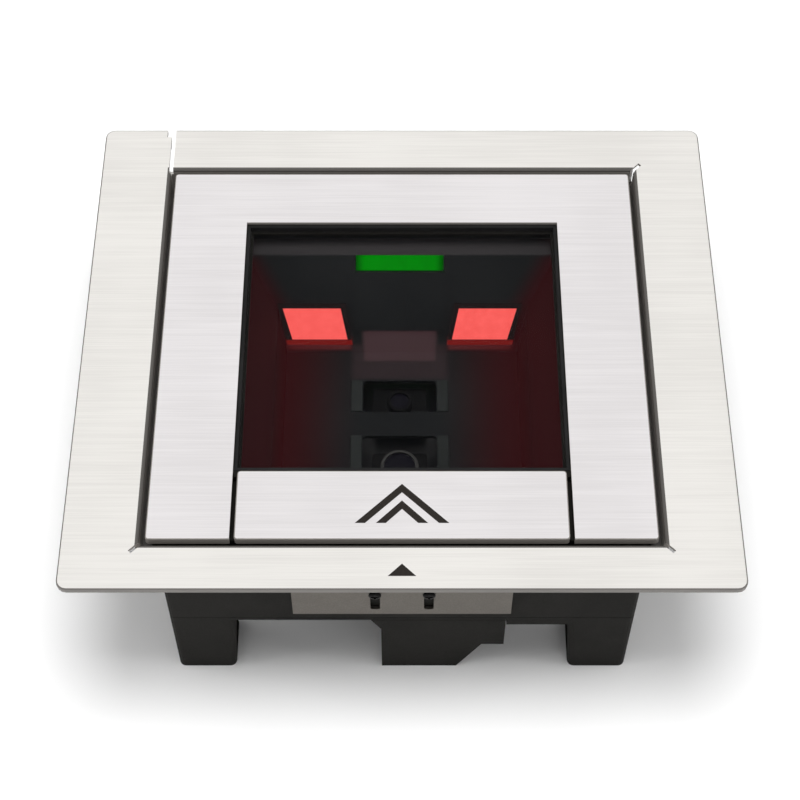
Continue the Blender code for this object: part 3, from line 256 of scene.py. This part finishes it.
def moulded(name, light, dark, roughness, specular, grain=2600.0, depth=0.16):
    """Moulded plastic or rubber with a spark-eroded grain."""
    made, tree, shader = new_material(name)
    pits = noise(tree, place(tree), grain, 2.0, 0.5)
    inputs = {
        "Base Color": mottled(tree, MOULD_CLOUD, 3.0, dark, light),
        "Roughness": between(tree, pits, *WIDE_BAND, roughness - SMOOTHER, roughness + ROUGHER),
        "Specular IOR Level": specular,
    }
    fill(tree, shader, inputs)
    bump(tree, shader, pits, depth)
    return made


# Where the lamps' light falls in the optics tub: pairs of a start and an end for a smooth step
TUB_MIDDLE = (OPTICS_X, 0.0, 120 * MM)
GLOW_HIGH_SIDE = (50 * MM, 66 * MM)
GLOW_LOW_SIDE = (18 * MM, 56 * MM)
GLOW_FALL = (74 * MM, 58 * MM)
GLOW_TOP = (88.5 * MM, 86 * MM)
GLOW_NARROWS_ABOVE = 72 * MM
GLOW_NARROWING = 0.8
SPILL_INNER = (22 * MM, 25 * MM)
SPILL_OUTER = (56 * MM, 52 * MM)
SPILL_LOW = (54.4 * MM, 55.6 * MM)
SPILL_HIGH = (60 * MM, 59 * MM)
PATCH_SIDE = (19.5 * MM, 16 * MM)
PATCH_FRONT = (20.2 * MM, 22.8 * MM)
PATCH_TOP = (62.6 * MM, 60.8 * MM)
DIM_PATCH_SIDE = (25.5 * MM, 20.5 * MM)
DIM_PATCH_FRONT = (10 * MM, 12.5 * MM)
DIM_PATCH_TOP = (58 * MM, 56 * MM)
DIM_PATCH_LEVEL = 0.36


def off_middle(tree, x):
    """Distance to either side of the optics' middle."""
    return maths(tree, "ABSOLUTE", maths(tree, "SUBTRACT", x, OPTICS_X))


def facing_in(tree):
    """1 on faces that look into the tub, 0 on its outside."""
    inward = add(tree, "ShaderNodeVectorMath", {0: TUB_MIDDLE, 1: place(tree)}, operation="SUBTRACT")
    inputs = {0: inward.outputs[0], 1: true_normal(tree)}
    lean = add(tree, "ShaderNodeVectorMath", inputs, operation="DOT_PRODUCT")
    return between(tree, lean.outputs["Value"], 0.0, MM)


def glow_mask(tree):
    """Where the lamps' red light falls: on the side walls, wider further down, and dim in the middle."""
    here = split(tree, place(tree))
    side = off_middle(tree, here["X"])
    above = maths(tree, "MAXIMUM", maths(tree, "SUBTRACT", here["Z"], GLOW_NARROWS_ABOVE), 0.0)
    narrowed = maths(tree, "SUBTRACT", side, product(tree, above, GLOW_NARROWING))
    upper = between(tree, narrowed, *GLOW_HIGH_SIDE)
    lower = between(tree, side, *GLOW_LOW_SIDE)
    low = between(tree, here["Z"], *GLOW_FALL)
    spread = maths(tree, "ADD", upper, product(tree, low, maths(tree, "SUBTRACT", lower, upper)))
    return product(tree, spread, between(tree, here["Z"], *GLOW_TOP), facing_in(tree))


def lamp_spill(tree):
    """Red strip on the slope just below the two lamps."""
    here = split(tree, place(tree))
    side = off_middle(tree, here["X"])
    span = product(tree, between(tree, side, *SPILL_INNER), between(tree, side, *SPILL_OUTER))
    band = product(tree, between(tree, here["Z"], *SPILL_LOW), between(tree, here["Z"], *SPILL_HIGH))
    return product(tree, span, band, facing_in(tree))


def patch(tree, side_steps, front_steps, top_steps):
    """Patch between the lamps, within a distance to both sides, behind a front line and below a height."""
    here = split(tree, place(tree))
    side = between(tree, off_middle(tree, here["X"]), *side_steps)
    return product(tree, side, between(tree, here["Y"], *front_steps), between(tree, here["Z"], *top_steps))


def foot_light(tree):
    """Dim red-grey light where the slope meets the floor, fading towards the back aperture."""
    near = patch(tree, PATCH_SIDE, PATCH_FRONT, PATCH_TOP)
    dim = patch(tree, DIM_PATCH_SIDE, DIM_PATCH_FRONT, DIM_PATCH_TOP)
    both = maths(tree, "MAXIMUM", near, product(tree, dim, DIM_PATCH_LEVEL))
    return product(tree, both, facing_in(tree))


TUB_GRAIN = 2200.0
TUB_CLOUD = 24.0
TUB_DEPTH = 0.05
TUB_ROUGHNESS = (0.55, 0.7)
TUB_SPECULAR = 0.05
# painted light: the tub's ledge is made lighter, as light from above falls on it
LEDGE_FRONT = (60.0 * MM, 60.7 * MM)
LEDGE_TOP = (89.0 * MM, 88.2 * MM)
LEDGE_PAINTED_LIGHT = (0.040, 0.037, 0.038)
GLOW_SURFACE = (0.005, 0.0012, 0.0014)
GLOW_COLOUR = (0.027, 0.0026, 0.0034)
SPILL_COLOUR = (0.084, 0.0110, 0.0125)
PATCH_COLOUR = (0.050, 0.023, 0.026)


def tub_plastic(name, light, dark):
    """Matt black of the optics tub, with painted light on its ledge where light from above falls, and the
    red light of the lamps painted on its sides.
    """
    made, tree, shader = new_material(name)
    pits = noise(tree, place(tree), TUB_GRAIN, 2.0)
    here = split(tree, place(tree))
    # painted light: the lighter colour of the ledge, where light from above falls
    lit_ledge = product(tree, between(tree, here["Y"], *LEDGE_FRONT), between(tree, here["Z"], *LEDGE_TOP))
    red = glow_mask(tree)
    colour = blend(tree, lit_ledge, mottled(tree, TUB_CLOUD, 3.0, dark, light), rgb(LEDGE_PAINTED_LIGHT))
    lit = blend(tree, red, rgb(BLACK), rgb(GLOW_COLOUR))
    lit = blend(tree, lamp_spill(tree), lit, rgb(SPILL_COLOUR))
    inputs = {
        "Base Color": blend(tree, red, colour, rgb(GLOW_SURFACE)),
        "Roughness": between(tree, pits, *WIDE_BAND, *TUB_ROUGHNESS),
        "Specular IOR Level": TUB_SPECULAR,
        "Emission Color": blend(tree, foot_light(tree), lit, rgb(PATCH_COLOUR)),
        "Emission Strength": 1.0,
    }
    fill(tree, shader, inputs)
    bump(tree, shader, pits, TUB_DEPTH)
    return made


BEZEL_CLOUD = 60.0
BEZEL_DEPTH = 0.12
BEZEL_ROUGHNESS = (0.5, 0.65)
BEZEL_COLOURS = ((0.008, 0.008, 0.008), (0.014, 0.012, 0.012))
BEZEL_BAR = (60.0 * MM, 59.2 * MM)
BEZEL_GLOW = ((0.004, 0, 0), (0.185, 0.003, 0.002))


def bezel_plastic(name):
    """Black bezel whose lower bar catches the light of its lamp."""
    made, tree, shader = new_material(name)
    pits = noise(tree, place(tree), TUB_GRAIN, 2.0)
    cloud = noise(tree, place(tree), BEZEL_CLOUD, 3.0)
    bar = between(tree, split(tree, place(tree))["Z"], *BEZEL_BAR)
    inputs = {
        "Base Color": blend(tree, cloud, *map(rgb, BEZEL_COLOURS)),
        "Roughness": between(tree, pits, *WIDE_BAND, *BEZEL_ROUGHNESS),
        "Specular IOR Level": TUB_SPECULAR,
        "Emission Color": blend(tree, bar, *map(rgb, BEZEL_GLOW)),
        "Emission Strength": 1.0,
    }
    fill(tree, shader, inputs)
    bump(tree, shader, pits, BEZEL_DEPTH)
    return made


PANEL_CLOUD = 220.0
PANEL_CLOUD_SHARE = 0.8
PANEL_RIB_SHARE = 0.2
PANEL_BAND = (0.2, 0.8)
PANEL_SURFACE = (0.02, 0.002, 0.002)
PANEL_RIB_DEPTH = 0.1
PANEL_RIB_HEIGHT = 0.2 * MM


def lit_panel(name, centre, edge, strength, ribs):
    """Lit diffuser with faint cloudy patches and fine moulded ribs."""
    made, tree, shader = new_material(name)
    cloud = noise(tree, place(tree), PANEL_CLOUD, 3.0)
    wave = {"Vector": stretched(tree, (ribs, 1, 1)), "Scale": 1.0, "Distortion": 0.0}
    lines = add(tree, "ShaderNodeTexWave", wave).outputs["Fac"]
    clouded = product(tree, cloud, PANEL_CLOUD_SHARE)
    level = maths(tree, "ADD", clouded, product(tree, lines, PANEL_RIB_SHARE))
    inputs = {
        "Base Color": rgb(PANEL_SURFACE),
        "Roughness": 0.4,
        "Specular IOR Level": 0.1,
        "Emission Color": blend(tree, between(tree, level, *PANEL_BAND), rgb(edge), rgb(centre)),
        "Emission Strength": strength,
    }
    fill(tree, shader, inputs)
    bump(tree, shader, lines, PANEL_RIB_DEPTH, PANEL_RIB_HEIGHT)
    return made


GUIDE_CLOUD = 180.0
GUIDE_CLOUD_LEVELS = (0.85, 1.0)
GUIDE_END_LEVELS = (0.35, 1.0)
GUIDE_SURFACE = (0, 0.01, 0)


def lit_bar(name, colour, half_width, fade):
    """Light guide that dims towards its two ends."""
    made, tree, shader = new_material(name)
    side = off_middle(tree, split(tree, place(tree))["X"])
    ends = between(tree, side, half_width, half_width - fade, *GUIDE_END_LEVELS)
    cloud = between(tree, noise(tree, place(tree), GUIDE_CLOUD), *WIDE_BAND, *GUIDE_CLOUD_LEVELS)
    inputs = {
        "Base Color": rgb(GUIDE_SURFACE),
        "Roughness": 0.5,
        "Specular IOR Level": 0.0,
        "Emission Color": blend(tree, product(tree, ends, cloud), rgb(BLACK), rgb(colour)),
        "Emission Strength": 1.0,
    }
    fill(tree, shader, inputs)
    return made


DUST_SCALE = 90.0
DUST_BAND = (0.4, 0.7)
DUST_ROUGHNESS = (0.02, 0.06)
PANE_COLOUR = (0.004, 0.004, 0.005)


def window_pane(name):
    """Coated clear glass with a faint smoky tint and hardly any dust."""
    made, tree, shader = new_material(name)
    dust = noise(tree, place(tree), DUST_SCALE, 5.0)
    inputs = {
        "Base Color": rgb(PANE_COLOUR),
        "Roughness": between(tree, dust, *DUST_BAND, *DUST_ROUGHNESS),
        "Specular IOR Level": 0.15,
        "Alpha": 0.10,
    }
    fill(tree, shader, inputs)
    return made


LENS_CLOUD = 300.0
LENS_COLOURS = ((0.003, 0.003, 0.005), (0.006, 0.005, 0.010))


def lens_glass(name):
    """Dark coated lens."""
    made, tree, shader = new_material(name)
    cloud = noise(tree, place(tree), LENS_CLOUD, 2.0)
    inputs = {
        "Base Color": blend(tree, cloud, *map(rgb, LENS_COLOURS)),
        "Roughness": 0.08,
        "Specular IOR Level": 0.06,
    }
    fill(tree, shader, inputs)
    return made


TRACE_SCALE = 380.0
TRACE_BAND = (0.30, 0.36)
TRACE_DEPTH = 0.2


def circuit_board(name, mask, trace):
    """Solder mask over a maze of traces."""
    made, tree, shader = new_material(name)
    maze = {"Vector": place(tree), "Scale": TRACE_SCALE, "Randomness": 0.6}
    cells = add(tree, "ShaderNodeTexVoronoi", maze, distance="MANHATTAN")
    traces = between(tree, cells.outputs["Distance"], *TRACE_BAND)
    inputs = {"Base Color": blend(tree, traces, rgb(mask), rgb(trace)), "Roughness": 0.35}
    fill(tree, shader, inputs)
    bump(tree, shader, traces, TRACE_DEPTH)
    return made


INK_COVER = 900.0
INK_BAND = (0.35, 0.7)
INK_FADE = 1.35
INK_ROUGHNESS = (0.45, 0.6)


def ink(name, colour):
    """Screen-printed ink with a slightly uneven cover."""
    made, tree, shader = new_material(name)
    cover = noise(tree, place(tree), INK_COVER, 3.0)
    faded = [part * INK_FADE for part in colour]
    inputs = {
        "Base Color": blend(tree, between(tree, cover, *INK_BAND), rgb(colour), rgb(faded)),
        "Roughness": between(tree, cover, *WIDE_BAND, *INK_ROUGHNESS),
        "Specular IOR Level": 0.1,
    }
    fill(tree, shader, inputs)
    return made


# edge, bend and wall colours are painted shade
STEEL = brushed_steel(
    "frame_steel",
    light=(0.876, 0.856, 0.820),
    dark=(0.796, 0.776, 0.744),
    edge=(0.185, 0.175, 0.165),
    bend_shade=(0.065, 0.060, 0.055),
    wall_shade=(0.30, 0.28, 0.26),
)
# edge, bend and wall colours are painted shade
PLATTER_STEEL = brushed_steel(
    "platter_steel",
    light=(0.84, 0.815, 0.820),
    dark=(0.765, 0.742, 0.745),
    edge=(0.12, 0.112, 0.105),
    bend_shade=(0.22, 0.205, 0.19),
    wall_shade=(0.36, 0.335, 0.31),
)
GREY_STEEL = plated_steel("bracket_steel", (0.1355, 0.124, 0.1095), (0.1295, 0.118, 0.1045), 0.5)
ZINC = plated_steel("zinc_plate", (0.66, 0.66, 0.64), (0.52, 0.52, 0.50), 0.38)
BLACK_SCREW = plated_steel("black_oxide", (0.010, 0.010, 0.010), (0.006, 0.006, 0.006), 0.5)
GOLD = plated_steel("gold_contact", (0.80, 0.58, 0.24), (0.70, 0.50, 0.20), 0.3)
BODY = moulded("body_plastic", (0.0138, 0.0130, 0.0114), (0.0100, 0.0094, 0.0081), 0.55, 0.05)
INNER = moulded("inner_plastic", (0.0085, 0.0085, 0.0085), (0.0060, 0.0060, 0.0060), 0.62, 0.04)
BARREL = moulded("barrel_plastic", (0.050, 0.050, 0.048), (0.040, 0.040, 0.038), 0.5, 0.15, 1500.0, 0.05)
CHEEK = moulded("cheek_plastic", (0.028, 0.031, 0.030), (0.021, 0.0235, 0.0225), 0.55, 0.05)
TUB = tub_plastic("tub_plastic", (0.0150, 0.0160, 0.0165), (0.0115, 0.0125, 0.0130))
BEZEL = bezel_plastic("bezel_plastic")
CONE = moulded("speaker_cone", (0.020, 0.020, 0.019), (0.013, 0.013, 0.013), 0.8, 0.1, 1600.0, 0.2)
RUBBER = moulded("rubber", (0.014, 0.014, 0.014), (0.009, 0.009, 0.009), 0.82, 0.25, 1400.0, 0.2)
CERAMIC = moulded("led_ceramic", (0.78, 0.77, 0.70), (0.70, 0.69, 0.62), 0.5, 0.4, 900.0, 0.05)
RED = lit_panel("red_lamp", (1.0, 0.130, 0.118), (0.90, 0.098, 0.088), strength=1.2, ribs=900.0)
GREEN = lit_bar("green_guide", (0.0, 0.265, 0.0015), half_width=21 * MM, fade=4 * MM)
GLASS = window_pane("window_pane")
LENS = lens_glass("lens_glass")
BOARD = circuit_board("circuit_board", (0.010, 0.075, 0.030), (0.025, 0.150, 0.060))
DARK_BOARD = circuit_board("dark_board", (0.004, 0.004, 0.005), (0.007, 0.007, 0.008))
INK = ink("sign_ink", (0.0165, 0.0140, 0.0122))

SLOT_MATERIALS = {
    "steel": STEEL,
    "platter_steel": PLATTER_STEEL,
    "grey_steel": GREY_STEEL,
    "zinc": ZINC,
    "black_screw": BLACK_SCREW,
    "black_plastic": BODY,
    "inner_black": INNER,
    "rubber": RUBBER,
    "window_glass": GLASS,
    "lens_glass": LENS,
    "red_lens": RED,
    "green_lens": GREEN,
    "board": BOARD,
    "led_package": CERAMIC,
}
NODE_MATERIALS = {
    "optics_tub": TUB,
    "centre_baffle": TUB,
    "led_bezel_left": BEZEL,
    "led_bezel_right": BEZEL,
    "main_board": DARK_BOARD,
    "lens_barrel_front": BARREL,
    "speaker": CONE,
}

for part in frame["record"]["subparts"]:
    finish = NODE_MATERIALS.get(part["node"], SLOT_MATERIALS[part["material_slot"]])
    shown = nodes[part["node"]]
    shown.data.materials.clear()
    shown.data.materials.append(finish)

# Pieces that the solids leave out
SAME_HEIGHT = 1e-9
BEVEL_STEPS = 2


def mesh_from(shape, name):
    mesh = bpy.data.meshes.new(name)
    shape.to_mesh(mesh)
    shape.free()
    return mesh


def show(name, mesh):
    made = bpy.data.objects.new(name, mesh)
    scene.collection.objects.link(made)
    return made


def piece(name, shape, material, body):
    bmesh.ops.recalc_face_normals(shape, faces=shape.faces)
    mesh = mesh_from(shape, name)
    made = show(name, mesh)
    mesh.materials.append(material)
    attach(made, body)


def plate(outline, low, high, bevel=0.0):
    """Flat plate over an outline in X and Y, with its top edge bevelled."""
    shape = bmesh.new()
    foot = [shape.verts.new((x, y, low)) for x, y in outline]
    shape.faces.new(foot)
    top = bmesh.ops.extrude_face_region(shape, geom=list(shape.faces))
    risen = [item for item in top["geom"] if isinstance(item, bmesh.types.BMVert)]
    bmesh.ops.translate(shape, verts=risen, vec=(0, 0, high - low))
    if bevel:
        upper = {vert for vert in shape.verts if abs(vert.co.z - high) < SAME_HEIGHT}
        edges = [edge for edge in shape.edges if upper.issuperset(edge.verts)]
        bmesh.ops.bevel(
            shape, geom=edges, offset=bevel, segments=BEVEL_STEPS, affect="EDGES", profile=0.5
        )
    return shape


def ring(radius, sides):
    """Points of a circle about zero."""
    angles = [2 * pi * side / sides for side in range(sides)]
    return [(radius * cos(a), radius * sin(a)) for a in angles]


def skin(shape, loops):
    """Joins loops of points, one to the next, and closes both ends."""
    sides = len(loops[0])
    for low, high in zip(loops, loops[1:]):
        for side in range(sides):
            nearby = (side + 1) % sides
            shape.faces.new((low[side], low[nearby], high[nearby], high[side]))
    shape.faces.new(list(reversed(loops[0])))
    shape.faces.new(loops[-1])


# Signs printed on the steel
INK_LIFT = 0.004 * MM
INK_THICK = 0.04 * MM
STROKE = 4.2 * MM
SIGN_BASE = -95.0 * MM
OUTER_APEX = -75.6 * MM
OUTER_HALF = 20.3 * MM
INNER_APEX = -83.9 * MM
INNER_HALF = 11.2 * MM
POINTER_APEX = -114.7 * MM
POINTER_BASE = -120.6 * MM
POINTER_HALF = 6.0 * MM


def chevron(apex, half):
    """Chevron that points to +Y, its arms cut off level at the base."""
    run = STROKE * half / (apex - SIGN_BASE)
    return [
        (-half, SIGN_BASE),
        (-half + run, SIGN_BASE),
        (0, apex - STROKE),
        (half - run, SIGN_BASE),
        (half, SIGN_BASE),
        (0, apex),
    ]


def print_sign(name, outline, node, body):
    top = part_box(node)[1].z + INK_LIFT
    piece(name, plate(outline, top, top + INK_THICK), INK, body)


print_sign("chevron_outer", chevron(OUTER_APEX, OUTER_HALF), "chevron_tile", "tile")
print_sign("chevron_inner", chevron(INNER_APEX, INNER_HALF), "chevron_tile", "tile")
pointer = [(-POINTER_HALF, POINTER_BASE), (POINTER_HALF, POINTER_BASE), (0, POINTER_APEX)]
print_sign("front_pointer", pointer, "top_frame", "base")

# Low cheeks beside the two apertures in the tub's floor
CHEEK_WIDTH = 5.4 * MM
CHEEK_HEIGHT = 0.9 * MM
CHEEK_BEVEL = 0.4 * MM
CHEEK_GAP = 0.3 * MM
CHEEK_REST = 0.02 * MM
TUB_FLOOR = 54.0 * MM
APERTURE_HALF = 17.5 * MM
APERTURES = (("back", -7.7 * MM, 10.0 * MM), ("front", -48.0 * MM, -21.1 * MM))


def cheek(name, side, front, back):
    near = OPTICS_X + side * (APERTURE_HALF + CHEEK_GAP)
    far = near + side * CHEEK_WIDTH
    left, right = min(near, far), max(near, far)
    outline = [(left, front), (right, front), (right, back), (left, back)]
    low = TUB_FLOOR + CHEEK_REST
    shape = plate(outline, low, low + CHEEK_HEIGHT, CHEEK_BEVEL)
    piece(name, shape, CHEEK, "base")


for aperture, aperture_front, aperture_back in APERTURES:
    cheek(f"cheek_{aperture}_left", -1, aperture_front, aperture_back)
    cheek(f"cheek_{aperture}_right", 1, aperture_front, aperture_back)

# Ears that carry the cover's flange round the outer side of its four screws
COVER_SCREWS = 4
EAR_HALF = 6.0 * MM
EAR_REACH = 4.2 * MM
EAR_CORNER = 2.0 * MM
EAR_BEVEL = 0.3 * MM
EAR_REST = 0.02 * MM
EAR_STEPS = 6
FLANGE_EDGE = 97.1 * MM
FLANGE_LOW = 45.3 * MM
FLANGE_TOP = 47.7 * MM
SCREW_HOLE = 1.8 * MM


def arc(centre, radius, start, end):
    """Points of an arc in X and Y between two angles."""
    angles = [start + (end - start) * step / EAR_STEPS for step in range(EAR_STEPS + 1)]
    return [(centre[0] + radius * cos(a), centre[1] + radius * sin(a)) for a in angles]


def cover_ear(name, node):
    """Ear beside a cover screw, with a half-round notch for the screw's shank."""
    low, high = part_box(node)
    middle = (low + high) / 2
    side = 1 if middle.x > 0 else -1
    near = FLANGE_EDGE + EAR_REST
    far = FLANGE_EDGE + EAR_REACH
    screw_x = abs(middle.x)
    open_angle = acos((near - screw_x) / SCREW_HOLE)
    outline = [(near, -EAR_HALF)]
    outline += arc((far - EAR_CORNER, EAR_CORNER - EAR_HALF), EAR_CORNER, -pi / 2, 0)
    outline += arc((far - EAR_CORNER, EAR_HALF - EAR_CORNER), EAR_CORNER, 0, pi / 2)
    outline += [(near, EAR_HALF)]
    outline += arc((screw_x, 0), SCREW_HOLE, open_angle, -open_angle)
    outline = [(side * x, middle.y + y) for x, y in outline]
    piece(name, plate(outline, FLANGE_LOW, FLANGE_TOP, EAR_BEVEL), BODY, "base")


for corner in range(1, COVER_SCREWS + 1):
    cover_ear(f"cover_ear_{corner}", f"cover_screw_{corner}")

# Contacts in the two sockets on the back of the cover
SOCKET_MOUTH = 84.0 * MM
SOCKET_BACK = 67.6 * MM
SOCKET_MARGIN = 1.2 * MM
SOCKET_MIDDLE = 38.5 * MM
DATA_SOCKET_X = -22.0 * MM
DATA_CONTACTS = 8
CONTACT_PITCH = 1.02 * MM
CONTACT_WIDTH = 0.45 * MM
CONTACT_THICK = 0.35 * MM
CONTACT_TOP = 41.9 * MM
POWER_SOCKET_X = 14.0 * MM
PIN_RADIUS = 1.0 * MM
PIN_SIDES = 20
PIN_REST = 0.05 * MM


def strip(outline, x, width):
    """Strip of an outline in Y and Z that is a width wide along X."""
    shape = bmesh.new()
    edges = (x - width / 2, x + width / 2)
    skin(shape, [[shape.verts.new((edge, y, z)) for y, z in outline] for edge in edges])
    return shape


def data_contacts():
    """Row of sloping spring contacts in the data socket."""
    front, back = SOCKET_MOUTH - SOCKET_MARGIN, SOCKET_BACK + SOCKET_MARGIN
    outline = [
        (front, CONTACT_TOP),
        (front, CONTACT_TOP - CONTACT_THICK),
        (back, SOCKET_MIDDLE - CONTACT_THICK),
        (back, SOCKET_MIDDLE),
    ]
    for index in range(DATA_CONTACTS):
        x = DATA_SOCKET_X + (index - (DATA_CONTACTS - 1) / 2) * CONTACT_PITCH
        piece(f"data_contact_{index + 1}", strip(outline, x, CONTACT_WIDTH), GOLD, "base")


def power_pin():
    """Round pin from the back of the power socket, with a blunt tip."""
    back, tip = SOCKET_BACK + PIN_REST, SOCKET_MOUTH - SOCKET_MARGIN
    profile = ((PIN_RADIUS, back), (PIN_RADIUS, tip - PIN_RADIUS / 2), (PIN_RADIUS / 2, tip))
    shape = bmesh.new()
    loops = []
    for radius, y in profile:
        points = [(POWER_SOCKET_X + right, y, SOCKET_MIDDLE + up) for right, up in ring(radius, PIN_SIDES)]
        loops.append([shape.verts.new(point) for point in points])
    skin(shape, loops)
    piece("power_pin", shape, ZINC, "base")


data_contacts()
power_pin()

# Screws with a cross recess, one for each plain screw of the solids
HEAD_PROFILE = ((1.00, 0.0), (1.00, 0.30), (0.94, 0.55), (0.80, 0.78), (0.58, 0.93), (0.30, 1.0))
SCREW_HEAD = 1.2 * MM
SCREW_SHANK = 1.5 * MM
SCREW_SIDES = 28
RECESS_LENGTH = 0.62
RECESS_WIDTH = 0.17
RECESS_DEPTH = 0.55
THREAD_PITCH = 0.5 * MM
THREAD_DEPTH = 0.18 * MM


def screw_mesh(head_radius, shank_length):
    """Pan-head screw along +Z whose seat is at Z = 0."""
    core = SCREW_SHANK - THREAD_DEPTH
    profile = []
    for turn in range(int(shank_length / THREAD_PITCH)):
        low = -shank_length + turn * THREAD_PITCH
        profile.append((core, low))
        profile.append((SCREW_SHANK, low + THREAD_PITCH / 2))
    profile.append((core, 0.0))
    profile += [(head_radius * wide, SCREW_HEAD * high) for wide, high in HEAD_PROFILE]
    shape = bmesh.new()
    loops = []
    for radius, z in profile:
        loops.append([shape.verts.new((x, y, z)) for x, y in ring(radius, SCREW_SIDES)])
    skin(shape, loops)
    bmesh.ops.recalc_face_normals(shape, faces=shape.faces)
    return cut_cross(shape, head_radius)


def cut_cross(shape, radius):
    """Cuts a cross recess into a screw head and returns the mesh."""
    wide, thin = radius * RECESS_LENGTH, radius * RECESS_WIDTH
    outline = []
    for quarter in range(4):
        along_x, along_y = cos(quarter * pi / 2), sin(quarter * pi / 2)
        for along, across in ((wide, -thin), (wide, thin), (thin, thin)):
            outline.append((along * along_x - across * along_y, along * along_y + across * along_x))
    tool = plate(outline, SCREW_HEAD * (1 - RECESS_DEPTH), SCREW_HEAD * 2)
    bmesh.ops.recalc_face_normals(tool, faces=tool.faces)
    target = show("screw_form", mesh_from(shape, "screw_form"))
    cutter = show("screw_tool", mesh_from(tool, "screw_tool"))
    modifier = target.modifiers.new("Recess", "BOOLEAN")
    modifier.solver = "EXACT"
    modifier.object = cutter
    bpy.context.view_layer.update()
    graph = bpy.context.evaluated_depsgraph_get()
    result = bpy.data.meshes.new_from_object(target.evaluated_get(graph))
    for helper in (target, cutter):
        bpy.data.objects.remove(helper, do_unlink=True)
    return result


def dress_screws(prefix, count, axis, material):
    """Sets a detailed screw over each numbered screw node, its head towards axis."""
    low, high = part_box(f"{prefix}_1")
    size = high - low
    axis = Vector(axis)
    length = abs(size.dot(axis))
    radius = (sum(size) - length) / 4
    mesh = screw_mesh(radius, length - SCREW_HEAD)
    mesh.materials.clear()
    mesh.materials.append(material)
    turned = axis.to_track_quat("Z", "Y").to_matrix().to_4x4()
    for index in range(1, count + 1):
        node = f"{prefix}_{index}"
        low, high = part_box(node)
        seat = (low + high) / 2 + axis * (length / 2 - SCREW_HEAD)
        made = show(f"dressed_{node}", mesh)
        made.matrix_world = Matrix.Translation(seat) @ turned
        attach(made, "base")
        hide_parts(node)


dress_screws("bracket_screw", 2, (0, -1, 0), BLACK_SCREW)
dress_screws("cover_screw", COVER_SCREWS, (0, 0, -1), ZINC)
dress_screws("frame_screw", 4, (0, 0, 1), ZINC)
dress_screws("tub_screw", 4, (0, 0, 1), ZINC)

# Studio
FLOOR_COLOUR = (0.96, 0.96, 0.96)
FLOOR_SIZE = 6.0
PAPER_FIBRE = 40.0
PAPER_SHADE = 0.99
PAPER_FADE = (0.26, 0.55)
SKY_DIFFUSE = 0.44
LIGHT_SIZE = 0.8
KEY_POWER = 15.5
KEY_PLACE = (0, -0.05, 1.5)
FILL_POWER = 6.0
FILL_LEFT = (-1.3, -0.1, 0.75)
FILL_RIGHT = (1.3, -0.1, 0.75)


def studio_floor():
    """White paper under the part, which fades into the white background."""
    shape = bmesh.new()
    bmesh.ops.create_grid(shape, x_segments=1, y_segments=1, size=FLOOR_SIZE)
    mesh = mesh_from(shape, "floor")
    floor = bpy.data.objects.new("floor", mesh)
    floor.location.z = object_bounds()[0][2]
    scene.collection.objects.link(floor)
    made, tree, shader = new_material("floor_paper")
    fibre = noise(tree, place(tree), PAPER_FIBRE, 2.0)
    shaded = [part * PAPER_SHADE for part in FLOOR_COLOUR]
    inputs = {
        "Base Color": blend(tree, fibre, rgb(shaded), rgb(FLOOR_COLOUR)),
        "Roughness": 0.9,
        "Specular IOR Level": 0.0,
    }
    fill(tree, shader, inputs)
    distance = add(tree, "ShaderNodeVectorMath", {0: place(tree)}, operation="LENGTH").outputs["Value"]
    far = product(tree, between(tree, distance, *PAPER_FADE), seen_rays(tree))
    white = add(tree, "ShaderNodeEmission", {"Color": rgb(WHITE), "Strength": 1.0})
    mix = {0: far, 1: shader.outputs[0], 2: white.outputs[0]}
    surface = add(tree, "ShaderNodeMixShader", mix).outputs[0]
    tree.links.new(surface, tree.nodes["Material Output"].inputs["Surface"])
    mesh.materials.append(made)


def seen_rays(tree):
    """1 for rays that show a background: the camera's own, mirrored ones and those through glass."""
    path = add(tree, "ShaderNodeLightPath").outputs
    seen = maths(tree, "MAXIMUM", path["Is Camera Ray"], path["Is Glossy Ray"])
    return maths(tree, "MAXIMUM", seen, path["Is Transmission Ray"])


def studio_world():
    """White surroundings that light the part less than they show."""
    world = bpy.data.worlds.new("studio")
    world.use_nodes = True
    tree = world.node_tree
    strength = between(tree, seen_rays(tree), 0.0, 1.0, SKY_DIFFUSE, 1.0)
    fill(tree, tree.nodes["Background"], {"Color": rgb(WHITE), "Strength": strength})
    scene.world = world


def soft_light(name, location, power):
    """Round soft light that looks at the part."""
    light = bpy.data.lights.new(name, "AREA")
    light.shape = "DISK"
    light.size = LIGHT_SIZE
    light.energy = power
    made = show(name, light)
    made.location = location
    made.rotation_euler = (-Vector(location)).to_track_quat("-Z", "Y").to_euler()
    made.visible_glossy = False


studio_floor()
studio_world()
soft_light("key", KEY_PLACE, KEY_POWER)
soft_light("fill_left", FILL_LEFT, FILL_POWER)
soft_light("fill_right", FILL_RIGHT, FILL_POWER)

# Camera at the photograph's place, looking 57 degrees down, with its focal length and shift in pixels
PICTURE_WIDTH = 800.0
FOCAL_LENGTH = 1861.0
SIDE_SHIFT = -2.0
SENSOR_WIDTH = 36.0
CAMERA_PLACE = (0.0, -0.486, 0.801)
CAMERA_TILT = radians(33.0)

camera = bpy.data.cameras.new("camera")
camera.sensor_width = SENSOR_WIDTH
camera.lens = FOCAL_LENGTH / PICTURE_WIDTH * SENSOR_WIDTH
camera.shift_x = SIDE_SHIFT / PICTURE_WIDTH
viewpoint = show("camera", camera)
viewpoint.location = CAMERA_PLACE
viewpoint.rotation_euler = (CAMERA_TILT, 0, 0)
scene.camera = viewpoint
scene.view_settings.view_transform = "Standard"
